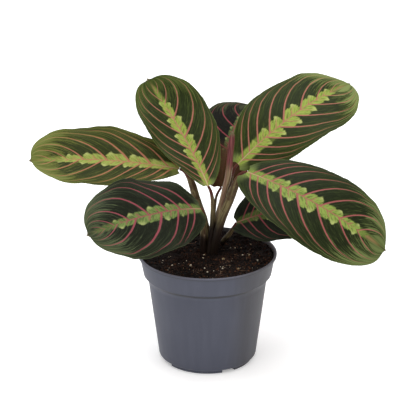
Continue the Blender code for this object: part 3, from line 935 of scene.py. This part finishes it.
def blade_values(blade):
    """The tree's inputs for one blade, with its directions worked out from its angles."""
    heading, pitch = math.radians(blade["heading"]), math.radians(blade["pitch"])
    ahead = Vector((
        math.cos(heading) * math.cos(pitch), math.sin(heading) * math.cos(pitch), math.sin(pitch),
    ))
    level = Vector((-math.sin(heading), math.cos(heading), 0))
    roll = Matrix.Rotation(math.radians(blade["roll"]), 3, ahead)
    left, up = roll @ level, roll @ ahead.cross(level)
    bend = math.hypot(blade["droop"], blade["sweep"])
    values = {
        "Base": Vector(blade["base"]) * MM, "Ahead": ahead, "Left": left, "Up": up,
        "Inward": (left * blade["sweep"] - up * blade["droop"]) / bend, "Bend": math.radians(bend),
    }
    for name in ("length", "half_width", "wave"):
        values[name.replace("_", " ").capitalize()] = blade[name] * MM
    for name in ("widest", "bluntness", "fold", "curl", "wave_count", "tip_paleness"):
        values[name.replace("_", " ").capitalize()] = float(blade[name])
    for index, side in enumerate(("Left", "Right")):
        values[f"{side} phase"] = math.radians(blade["phases"][index])
        values[f"{side} lobe"] = blade["lobes"][index] * MM
        values[f"{side} band"] = blade["bands"][index]
        values[f"{side} slant"], values[f"{side} sweep"] = blade["slants"][2 * index:2 * index + 2]
        for number, rib_place in enumerate(blade[f"{side.lower()}_ribs"], start=1):
            values[f"{side} rib {number}"] = rib_place
    return values


def new_effect(name, inputs):
    """A shader node group with named inputs, as {name: default value}, and their wires."""
    group = bpy.data.node_groups.new(name, "ShaderNodeTree")
    return group, open_tree(group, inputs, {float: "NodeSocketFloat", tuple: "NodeSocketColor"})


def finish_effect(group, **outputs):
    """Ends a node group: Colour comes out as a colour and all else as a value."""
    for name in outputs:
        kind = "NodeSocketColor" if name == "Colour" else "NodeSocketFloat"
        group.interface.new_socket(name, in_out="OUTPUT", socket_type=kind)
    leave = group.nodes.new("NodeGroupOutput")
    for name, value in outputs.items():
        feed(leave.inputs[name], value)
    return group


def use_effect(tree, effect, **inputs):
    """Places a node group and returns its outputs by name."""
    node = tree.nodes.new("ShaderNodeGroup")
    node.node_tree = effect
    for name, value in inputs.items():
        feed(node.inputs[name.replace("_", " ")], value)
    return {socket.name: Wire(socket) for socket in node.outputs}


def rib_effect():
    """The ribs and the fine grain between them, from the values that each blade keeps at its points."""
    group, given = new_effect("leaf_ribs", {"Rib width": 0.0062})
    v = absolute(attribute(group, "across"))
    u = attribute(group, "along")
    count = attribute(group, "rib_count")
    start = attribute(group, "rib_start")
    offset = absolute(attribute(group, "offset"))
    near = absolute(fraction(count + 0.5) - 0.5)
    width = given["Rib width"] / (0.062 + maximum(start, 0.0) * 0.11) * (1.0 - v * 0.35)
    wobble = noise(combine(u * 60.0, v * 14.0, 0.0), 1.0, detail=1) - 0.5
    width = width * (1.0 + wobble * 0.5)
    ribs = (
        ramp(near, width * 1.35, width * 0.7) * ramp(v, 0.97, 0.85) * greater(count, 0.5)
        * ramp(u, 0.985, 0.93) * (1.0 - ramp(v, 0.55, 0.95) * 0.35)
    )
    midrib = ramp(offset, MIDRIB_PAINT[1], MIDRIB_PAINT[0]) * ramp(u, 1.0, 0.88)
    streaks = noise(combine(count * 9.0, v * 2.6, 0.0), 1.0, detail=3, roughness=0.62)
    grain = noise(combine(count * 46.0, v * 9.0, 1.0), 1.0, detail=2)
    return finish_effect(group, Ribs=ribs, Midrib=midrib, Streaks=streaks, Grain=grain)


def upper_effect(ribs_effect):
    """The painted upper side: dark between the ribs, olive outwards, a toothed lime band, pink ribs."""
    group, given = new_effect("leaf_upper_side", {
        "Dark": (0.03, 0.04, 0.01, 1.0), "Olive": (0.06, 0.08, 0.025, 1.0), "Margin": (0.17, 0.21, 0.08, 1.0),
        "Lime": (0.30, 0.41, 0.07, 1.0), "Ribs": (0.42, 0.13, 0.09, 1.0), "Pale foot": 0.8, "Brown foot": 0.0,
    })
    parts = use_effect(group, ribs_effect)
    ribs, midrib, grain = parts["Ribs"], parts["Midrib"], parts["Grain"]
    u = attribute(group, "along")
    v = absolute(attribute(group, "across"))
    count = attribute(group, "rib_count")
    start = maximum(attribute(group, "rib_start"), 0.0)
    inside = fraction(count)
    streaks = parts["Streaks"] - 0.5
    fine = grain - 0.5

    # the ground: dark in the middle of each cell, olive towards its ribs and outwards, pale at the margin
    tip = ramp(u + v * 0.14 + streaks * 0.75 + fine * 0.35, 0.80, 1.0) * attribute(group, "tip_paleness")
    beside = ramp(absolute(inside - 0.5), 0.22, 0.46)
    away = ramp(v, 0.35, 1.0) * 0.20 + beside * 0.16 + tip + streaks * (1.4 + v * 0.9) + fine * 0.8
    colour = layer(
        given["Dark"], (ramp(away, -0.05, 0.62), given["Olive"]), (ramp(away, 0.55, 1.25), given["Margin"]),
    )

    # the lime band: widest at the foot, cut into teeth ahead of each rib, frayed out near the tip
    through = attribute(group, "rib_ahead") - count + inside
    apart = ramp(start, 0.05, 0.32)
    jagged = noise(combine(count * 5.0, v * 24.0, 3.0), 1.0, detail=2) - 0.5
    corner = ramp(absolute(through - 0.89), 0.20, 0.0) * 0.17
    teeth = fraction(through * 3.0 + 0.1) * 0.11 * ramp(through, 1.1, 0.8) + corner
    tall = 1.05 + ramp(start, 0.12, 0.0) * 0.45 - ramp(start, 0.30, 0.85) * 0.60
    tall = tall * (1.0 - apart * 0.55 * ramp(through, 0.42, 0.0)) + (teeth + jagged * 0.26) * (0.3 + apart)
    edge = attribute(group, "band") * tall
    front = ramp(through + jagged * 0.26 + v * 0.20 - apart * 0.08, 1.03, 0.95)
    soft = 0.02 + (1.0 - apart) * 0.04
    lime = ramp(v, edge + soft, edge - soft) * (1.0 - apart * (1.0 - front))
    lime = lime * ramp(u + streaks * 0.16, 0.88, 0.78)
    frayed = ramp(v + streaks * 0.22, 0.14, 0.03) * between(u, 0.70, 0.80, 0.90, 1.0) * 0.62
    lime = maximum(lime, frayed)
    foot = ramp(u + v * 0.03 + streaks * 0.05, 0.085, 0.03) * given["Pale foot"]
    lime = maximum(lime, ramp(u * 1.5 + v * 0.14 + streaks * 0.08, 0.15, 0.07) * given["Pale foot"])
    shade = noise(combine(count * 11.0, v * 8.0, 5.0), 1.0, detail=3, roughness=0.6)
    lime_tone = layer(
        given["Lime"], (ramp(shade, 0.45, 0.64) * 0.6, given["Olive"]),
        (ramp(shade, 0.42, 0.28) * ramp(u, 0.72, 0.6) * 0.5, given["Ribs"]),
        (ramp(absolute(v - edge), 0.03, 0.0) * 0.35, given["Lime"]),
        (corner * 3.4 * apart * ramp(v, edge * 0.45, edge), LIME_TOOTH),
    )

    # the ribs, short spurs between them, the midrib, a thin pale rim and a faint grain over all
    spur = ramp(absolute(inside - 0.46 - jagged * 0.12), 0.07, 0.02) * ramp(v, edge * 0.95, edge * 0.5)
    pale_midrib = midrib ** 4.0 * ramp(u, 0.26, 0.04) * (0.3 + given["Pale foot"] * 0.6)
    colour = layer(
        colour, (foot, given["Margin"]), (lime, lime_tone), (ribs * (0.62 + grain * 0.5), given["Ribs"]),
        (spur * apart * lime * 0.6, given["Ribs"]), (midrib * 0.66 * ramp(u, 0.84, 0.66), given["Ribs"]),
        (pale_midrib, PALE_MIDRIB), (ramp(v, 0.985, 1.0) * 0.6, given["Margin"]),
        (ramp(grain, 0.52, 0.72) * 0.13, given["Margin"]),
        # painted shade with a red reflection over the blade's foot
        (ramp(u + streaks * 0.15, 0.46, 0.30) * given["Brown foot"], SHADED_FOOT_RED),
    )
    return finish_effect(
        group, Colour=colour, Roughness=0.44 + parts["Streaks"] * 0.16 - lime * 0.03,
        Height=grain * 0.6 + parts["Streaks"] * 0.4 - ribs * 0.7,
    )


def upper_finish(kind, effect, colours):
    """The satin skin of a blade's upper side."""
    material, tree = new_finish(kind + "_painted_light_leaf_top")
    look = use_effect(
        tree, effect, **dict(zip(("Dark", "Olive", "Margin", "Lime", "Ribs"), colours)),
        Pale_foot=PALE_FEET.get(kind, 0.8), Brown_foot=SHADED_FEET.get(kind, 0.0),
    )
    gloss = GLOSS.get(kind, PLAIN_GLOSS)
    return finish(material, look["Colour"], look["Roughness"], gloss, relief=look["Height"], depth=0.12 * MM)


def under_finish(effect):
    """The maroon underside, with paler ribs, a green midrib and a green rim."""
    material, tree = new_finish("leaf_underside")
    parts = use_effect(tree, effect, Rib_width=0.0075)
    v = absolute(attribute(tree, "across"))
    rim = maximum(ramp(v, 0.94, 1.0), ramp(attribute(tree, "along"), 0.975, 0.995))
    colour = layer(
        MAROON_DARK, (ramp(parts["Streaks"], 0.35, 0.7), MAROON), (rim * 0.7, UNDER_RIM),
        (parts["Ribs"] * 0.7, UNDER_RIBS), (parts["Midrib"] * 0.85, UNDER_MIDRIB),
    )
    return finish(material, colour, 0.55, relief=parts["Grain"] + parts["Ribs"] * 0.4, depth=0.12 * MM)


leaf_ribs = rib_effect()
leaf_top = upper_effect(leaf_ribs)
upper_sides_by_light = {kind: upper_finish(kind, leaf_top, colours) for kind, colours in UPPER_SIDES_BY_LIGHT.items()}
underside = under_finish(leaf_ribs)
blade_maker = blade_tree()
for blade_name, blade in BLADES.items():
    kind = blade["finish"]
    values = blade_values(blade) | {"Upper side": upper_sides_by_light[kind], "Underside": underside}
    leaf = grow("leaf_" + blade_name, blade_maker, values)
    leaf.data.shade_smooth()
    leaf.data.set_sharp_from_angle(angle=BLADE_SHARP_ANGLE)
    stand_for(leaf, "leaf_olive" if kind in OLIVE_SIDES else "leaf_dark", "blade_" + blade_name)


# ---------------------------------------------------------------------------------------------------
# Stalks: seven thin petioles that rise from the soil, each wrapped up to its middle or higher in a
# papery-edged sheath. The last centimetre under the blade is the slim dark-red joint.

STALK_SIDES = 22
STALK_STEPS = 150
STALK_FOOT = 80.0  # height in millimetres, under the soil's surface
STALK_END_RADIUS = 1.15
STALK_GAP = 0.3  # millimetres that a stalk stops short of its blade's base
# (x, y, z, radius) along each stalk in millimetres, up to just under its blade
STALKS = {
    "left_upper": (
        (-0.8, 9.5, 96, 3.8), (-1.2, 10.8, 108, 3.7), (-2.8, 12.5, 121, 3.5), (-6.6, 14.5, 132, 3.6),
        (-10, 16, 142, 3.6), (-13.4, 18, 154, 3.2), (-17, 19, 161.5, 2.2), (-20.5, 20, 165.5, 1.5),
    ),
    "top_left": (
        (1.5, 1.5, 96, 3.0), (2.4, 1.8, 106, 2.8), (4, 2, 119, 2.5), (4.5, 2, 130, 2.3),
        (4.5, 1.5, 140, 2.0), (4, 1, 147.5, 1.6), (2.5, 0, 154.5, 1.3),
    ),
    "back_centre": (
        (5, 14.5, 96, 2.0), (5, 14.5, 112, 1.9), (5.5, 16.5, 126, 1.6), (6.5, 19, 134, 1.3),
        (8, 23, 141.5, 1.1),
    ),
    "top_right": (
        (8.6, 12.5, 96, 2.2), (9.2, 12.8, 106, 2.2), (11.4, 13.7, 121, 2.1), (14.2, 14, 136, 1.8),
        (17, 14.5, 147, 1.6), (19.5, 15, 155, 1.5), (21.5, 15.5, 164, 1.3), (23, 16, 169, 1.2),
    ),
    "right_front": (
        (5.2, 0.2, 96, 3.4), (6.9, -0.8, 110, 3.5), (10.3, -2, 123, 3.5), (14, -3, 135.5, 3.6),
        (17.5, -3, 144.5, 3.6), (20.5, -3, 152.5, 3.6), (23.5, -3.5, 161.5, 3.2),
        (25.5, -3.5, 167.5, 1.7), (29, -6, 172.5, 1.3),
    ),
    "left_front": (
        (-3.6, 2.5, 96, 3.3), (-3.6, 1, 111, 3.0), (-3, -2, 123, 2.4), (-3, -6, 132, 1.8),
        (-4, -11, 139.5, 1.4),
    ),
    "right_low": ((11.8, 20, 96, 2.3), (14, 19, 100.5, 2.3), (18.5, 17.2, 107, 2.2), (22.5, 16, 113.5, 1.8)),
}
# where each sheath ends, as a share of the stalk's length, and how high the painted shade at its foot reaches
SHEATH_ENDS = {
    "left_upper": 0.80, "top_left": 0.62, "back_centre": 0.45, "top_right": 0.40, "right_front": 0.86,
    "left_front": 0.55, "right_low": 0.70,
}
SHADE_HEIGHT = 43 * MM
SHADE_HEIGHTS = {"right_low": 10 * MM, "left_upper": 17 * MM, "left_front": 26 * MM}
SHEATH_EDGE_AT = 0.75  # share of the way round
SHEATH_EDGE_LEAN = 0.08
GROOVES = 9

STALK_DARK = (0.050, 0.037, 0.015, 1)
STALK_TAN = (0.190, 0.152, 0.070, 1)
STALK_BROWN = (0.085, 0.048, 0.030, 1)
STALK_FLECK = (0.040, 0.016, 0.010, 1)
JOINT_RED = (0.085, 0.017, 0.015, 1)
SHEATH_EDGE = (0.075, 0.030, 0.018, 1)
SHEATH_PAPER = (0.33, 0.25, 0.16, 1)
STALK_FOOT_SHADE = (0.0080, 0.0036, 0.0026, 1)


def route_curve(name, route):
    """A smooth line through the points, which starts upright below the soil's surface."""
    x, y, _, radius = route[0]
    curve = bpy.data.curves.new(name, "CURVE")
    curve.dimensions = "3D"
    spline = curve.splines.new("BEZIER")
    points = ((x, y, STALK_FOOT, radius), *route)
    spline.bezier_points.add(len(points) - 1)
    for knot, (px, py, pz, thickness) in zip(spline.bezier_points, points):
        knot.co = Vector((px, py, pz)) * MM
        knot.radius = thickness * MM
        knot.handle_left_type = "AUTO"
        knot.handle_right_type = "AUTO"
    return curve


def tube_along(line, steps, sides):
    """A capped tube round the line, as thick as its points say; its shares along and round are kept."""
    tree = tree_of(line)
    line = place(tree, "GeometryNodeResampleCurve", Curve=line, Count=steps)
    line = store(line, "share", place(tree, "GeometryNodeSplineParameter"))
    ring = place(tree, "GeometryNodeCurvePrimitiveCircle", Resolution=sides, Radius=1.0)
    ring = store(ring, "around", place(tree, "GeometryNodeSplineParameter"))
    tube = place(
        tree, "GeometryNodeCurveToMesh", Curve=line, Profile_Curve=ring,
        Scale=place(tree, "GeometryNodeInputRadius"), Fill_Caps=True,
    )
    return tube, attribute(tree, "share"), attribute(tree, "around")


def stalk_tree():
    """A tapered stalk with fine grooves and a raised sheath edge that ends part of the way up."""
    tree, given = new_tree("leaf_stalk", {
        "Sheath end": 0.6, "Sheath edge": 0.35 * MM, "Groove depth": 0.06 * MM, "Edge at": SHEATH_EDGE_AT,
        "Shade height": SHADE_HEIGHT, "Skin": "",
    })
    tube, share, around = tube_along(given["Geometry"], STALK_STEPS, STALK_SIDES)
    edge = ramp(absolute(around - given["Edge at"] - share * SHEATH_EDGE_LEAN), 0.075, 0.0)
    edge = edge * ramp(share, given["Sheath end"], given["Sheath end"] - 0.04)
    grooves = sine(around * (2 * math.pi * GROOVES)) * given["Groove depth"] * ramp(share, 0.97, 0.9)
    at = position(tree)
    knobs = (noise(at, 160, detail=1) - 0.5) * 0.35 * MM
    # painted shade at the stalk's foot, fading out upwards over its shade height
    high = split(at)[2] - SOIL_EDGE
    foot = ramp(high + (noise(at, 110) - 0.5) * 0.02, given["Shade height"], given["Shade height"] * 0.5)
    papery = edge * ramp(share, given["Sheath end"] - 0.40, given["Sheath end"] - 0.03)
    tube = store(store(tube, "foot", foot), "papery", papery)
    tube = push_out(tube, edge * given["Sheath edge"] + grooves + knobs)
    return finish_tree(tube, given["Skin"])


def fibre_effect():
    """Fine fibres that run up a stalk or a rolled leaf."""
    group, given = new_effect("stem_fibres", {"Round": 26.0, "Along": 7.0, "Shift": 0.0, "Roughness": 0.6})
    around = attribute(group, "around") * given["Round"]
    along = attribute(group, "share") * given["Along"]
    at = combine(around, along, given["Shift"])
    return finish_effect(group, Fibres=noise(at, 1.0, detail=3, roughness=given["Roughness"]))


def foot_shade_effect():
    """Painted shade in a near-black colour at the foot of a stalk or of the rolled leaf."""
    group, given = new_effect("painted_foot_shade", {"Colour": STALK_TAN, "Wetness": 0.0, "Peat": STALK_FOOT_SHADE})
    return finish_effect(group, Colour=blend(given["Wetness"] * 0.96, given["Colour"], given["Peat"]))


def stalk_finish():
    """Olive-tan with brown flecks, near black with painted shade at the soil, dark red in the joint under the
    blade.
    """
    material, tree = new_finish("stalk_skin")
    share = attribute(tree, "share")
    around = attribute(tree, "around")
    fibres = use_effect(tree, stem_fibres)["Fibres"]
    blotch = noise(position(tree), 110, detail=3, roughness=0.6)
    broad = noise(combine(around * 5.0, share * 3.0, 4.0), 1.0, detail=2)
    edge = ramp(absolute(around - SHEATH_EDGE_AT - share * SHEATH_EDGE_LEAN), 0.05, 0.02)
    colour = layer(
        STALK_DARK, (ramp(fibres, 0.35, 0.65), STALK_TAN), (ramp(broad, 0.44, 0.62) * 0.55, STALK_BROWN),
        (ramp(blotch, 0.50, 0.68) * 0.7, STALK_FLECK),
        (ramp(share + (broad - 0.5) * 0.1, 0.84, 0.92) * 0.85, JOINT_RED), (edge * 0.5, SHEATH_EDGE),
        (ramp(attribute(tree, "papery"), 0.2, 0.7) * 0.8, SHEATH_PAPER),
    )
    # painted shade over the stalk's foot
    foot = attribute(tree, "foot")
    colour = use_effect(tree, painted_foot_shade, Colour=colour, Wetness=foot, Peat=STALK_FOOT_SHADE)["Colour"]
    return finish(material, colour, 0.42 + fibres * 0.2, gloss=0.12, relief=fibres, depth=0.12 * MM)


stem_fibres = fibre_effect()
painted_foot_shade = foot_shade_effect()
stalk_skin = stalk_finish()
stalk_maker = stalk_tree()
for stalk_name, route in STALKS.items():
    base = Vector(BLADES[stalk_name]["base"])
    arriving = (base - Vector(route[-1][:3])).normalized()
    end = base - arriving * STALK_GAP
    look_name = "stalk_" + stalk_name + "_look"
    stalk = grow(
        look_name, stalk_maker,
        {
            "Sheath end": SHEATH_ENDS[stalk_name], "Shade height": SHADE_HEIGHTS.get(stalk_name, SHADE_HEIGHT),
            "Skin": stalk_skin,
        },
        start=route_curve(look_name, (*route, (*end, STALK_END_RADIUS))),
    )
    stalk.data.shade_smooth()
    stand_for(stalk, "stalk_olive", "stalk_" + stalk_name)


# ---------------------------------------------------------------------------------------------------
# New leaf: a young blade still rolled into a slim spike, mauve-red outside and olive-tan lower down,
# with the outer edge of the roll running up it in a slow turn.

# (x, y, z, radius) along it in millimetres
NEW_LEAF = (
    (4.6, 7, 96, 3.0), (5.8, 7, 108, 3.0), (8.2, 6.5, 122, 2.9), (10.7, 6, 135.5, 2.8),
    (13, 6, 145.5, 2.6), (15.2, 6, 155.5, 2.6), (17.4, 6, 165, 2.7), (18.9, 6, 178.5, 2.7),
    (20.0, 6, 190, 2.6), (20.7, 6, 197, 2.5), (21.1, 6, 203, 2.1), (21.3, 6, 205.5, 0.9),
)
NEW_LEAF_SIDES = 56
NEW_LEAF_STEPS = 220
ROLL_TURN = 1.2  # turns that the outer edge makes on its way up
ROLL_START = 0.35
ROLL_SHARP_ANGLE = math.radians(40)
# heights between which the skin turns from black painted shade to olive-tan, to mauve and, at the tip, to
# green
SHADE_FADE_HEIGHTS = (SOIL_EDGE + 21.5 * MM, SOIL_EDGE + 43 * MM)
MAUVE_START = (166 * MM, 182 * MM)
GREEN_START = (200.5 * MM, 205 * MM)

MAUVE_DARK = (0.070, 0.0125, 0.0155, 1)
MAUVE = (0.178, 0.047, 0.045, 1)
LOOSE_EDGE = (0.21, 0.075, 0.060, 1)
UNDER_EDGE = (0.060, 0.010, 0.014, 1)
GREEN_TIP = (0.090, 0.085, 0.035, 1)
STEM_DARK = (0.130, 0.085, 0.045, 1)
STEM_TAN = (0.330, 0.240, 0.135, 1)
STEM_BROWN = (0.150, 0.062, 0.048, 1)
NEW_LEAF_FOOT_SHADE = (0.0062, 0.0032, 0.0022, 1)


def new_leaf_tree():
    """The rolled leaf: a spiral outline whose loose edge stands off a little, carried along the line."""
    _, given = new_tree("rolled_leaf", {
        "Edge height": 0.6144 * MM, "Rolled from": 0.42, "Turn": ROLL_TURN, "Skin": "",
    })
    tube, share, around = tube_along(given["Geometry"], NEW_LEAF_STEPS, NEW_LEAF_SIDES)
    turn = fraction(around + share * given["Turn"] + ROLL_START)
    step = (turn - 0.5) * ramp(turn, 1.0, 0.96)
    rolled = between(share, given["Rolled from"], given["Rolled from"] + 0.06, 0.93, 1.0)
    return finish_tree(push_out(tube, step * rolled * given["Edge height"]), given["Skin"])


def new_leaf_finish():
    """Mauve-red with a paler loose edge and a green tip, olive-tan below, near black with painted shade at
    the soil.
    """
    material, tree = new_finish("new_leaf_skin")
    at = position(tree)
    height = split(at)[2]
    turn = fraction(attribute(tree, "around") + attribute(tree, "share") * ROLL_TURN + ROLL_START)
    lines = use_effect(tree, stem_fibres, Round=22.0, Along=6.0, Shift=2.0, Roughness=0.5)["Fibres"]
    blotch = noise(at, 120, detail=2)
    mauve = layer(
        MAUVE_DARK, (ramp(lines, 0.35, 0.65), MAUVE), (ramp(turn, 0.90, 0.97) * 0.5, LOOSE_EDGE),
        (ramp(turn, 0.05, 0.0) * 0.6, UNDER_EDGE), (ramp(height, *GREEN_START) * 0.8, GREEN_TIP),
    )
    stem = layer(
        STEM_DARK, (ramp(lines, 0.35, 0.65), STEM_TAN),
        (ramp(absolute(turn - 0.5), 0.16, 0.06) * 0.55, STEM_BROWN),
    )
    upper = ramp(height + (blotch - 0.5) * 0.012 + (lines - 0.5) * 0.02, *MAUVE_START)
    # painted shade at the foot, among the stalks
    low = ramp(height + (blotch - 0.5) * 0.02, SHADE_FADE_HEIGHTS[1], SHADE_FADE_HEIGHTS[0])
    colour = blend(upper, stem, mauve)
    colour = use_effect(tree, painted_foot_shade, Colour=colour, Wetness=low, Peat=NEW_LEAF_FOOT_SHADE)["Colour"]
    return finish(material, colour, 0.45, gloss=0.22, relief=lines, depth=0.15 * MM)


new_leaf_line = route_curve("new_leaf_look", NEW_LEAF)
new_leaf = grow("new_leaf_look", new_leaf_tree(), {"Skin": new_leaf_finish()}, start=new_leaf_line)
new_leaf.data.shade_smooth()
new_leaf.data.set_sharp_from_angle(angle=ROLL_SHARP_ANGLE)
stand_for(new_leaf, "new_leaf_mauve", "new_leaf")


# ---------------------------------------------------------------------------------------------------
# Studio: a pale seamless floor, broad soft lights over the front left and from behind, a weaker one
# from the right, and a camera that looks down on the plant a little.

AIM = Vector((0.0004, 0, 0.1387))
CAMERA_DISTANCE = 1.6
CAMERA_ELEVATION = math.radians(21.2)
CAMERA_LENS = 161.4
FLOOR_GLOW = 0.28  # the paper is lit from below a little, which keeps the shadow small
FLOOR_HALF_SIDE = 8
PAPER = (0.93, 0.93, 0.93, 1)
WHITE = (1, 1, 1, 1)
SKY_STRENGTH = 0.85
# each light: where it stands, how wide it is, its power and its colour
LIGHTS = {
    "key_light": ((-0.35, -0.75, 2.1), 2.4, 17, (1.0, 0.99, 0.97)),
    "fill_light": ((1.4, -1.0, 1.2), 1.3, 4, (1.0, 0.94, 0.84)),
    "top_light": ((0.0, 0.5, 2.0), 1.5, 20, (0.97, 0.99, 1.0)),
}


def studio_floor():
    """A wide sheet of pale paper."""
    bm = bmesh.new()
    bmesh.ops.create_grid(bm, x_segments=1, y_segments=1, size=FLOOR_HALF_SIDE)
    mesh = bpy.data.meshes.new("studio_floor")
    bm.to_mesh(mesh)
    bm.free()
    floor = new_object("studio_floor", mesh)
    material, tree = new_finish("pale_paper")
    shader = tree.nodes["Principled BSDF"]
    shader.inputs["Emission Color"].default_value = WHITE
    shader.inputs["Emission Strength"].default_value = FLOOR_GLOW
    mesh.materials.append(finish(material, PAPER, 0.9))


def softbox(name, place_at, size, power, colour):
    """A round soft light that faces the plant."""
    light = bpy.data.lights.new(name, "AREA")
    light.shape = "DISK"
    light.size = size
    light.energy = power
    light.color = colour
    obj = new_object(name, light)
    obj.location = place_at
    obj.rotation_euler = (AIM - Vector(place_at)).to_track_quat("-Z", "Y").to_euler()


def studio_camera():
    data = bpy.data.cameras.new("camera")
    data.lens = CAMERA_LENS
    camera = new_object("camera", data)
    back = Vector((0, -math.cos(CAMERA_ELEVATION), math.sin(CAMERA_ELEVATION)))
    camera.location = AIM + back * CAMERA_DISTANCE
    camera.rotation_euler = (-back).to_track_quat("-Z", "Y").to_euler()
    bpy.context.scene.camera = camera


studio_floor()
for light_name, facts in LIGHTS.items():
    softbox(light_name, *facts)
world = bpy.data.worlds.new("studio")
world.use_nodes = True
sky = world.node_tree.nodes["Background"]
sky.inputs["Color"].default_value = WHITE
sky.inputs["Strength"].default_value = SKY_STRENGTH
bpy.context.scene.world = world
bpy.context.scene.view_settings.view_transform = "Standard"
studio_camera()
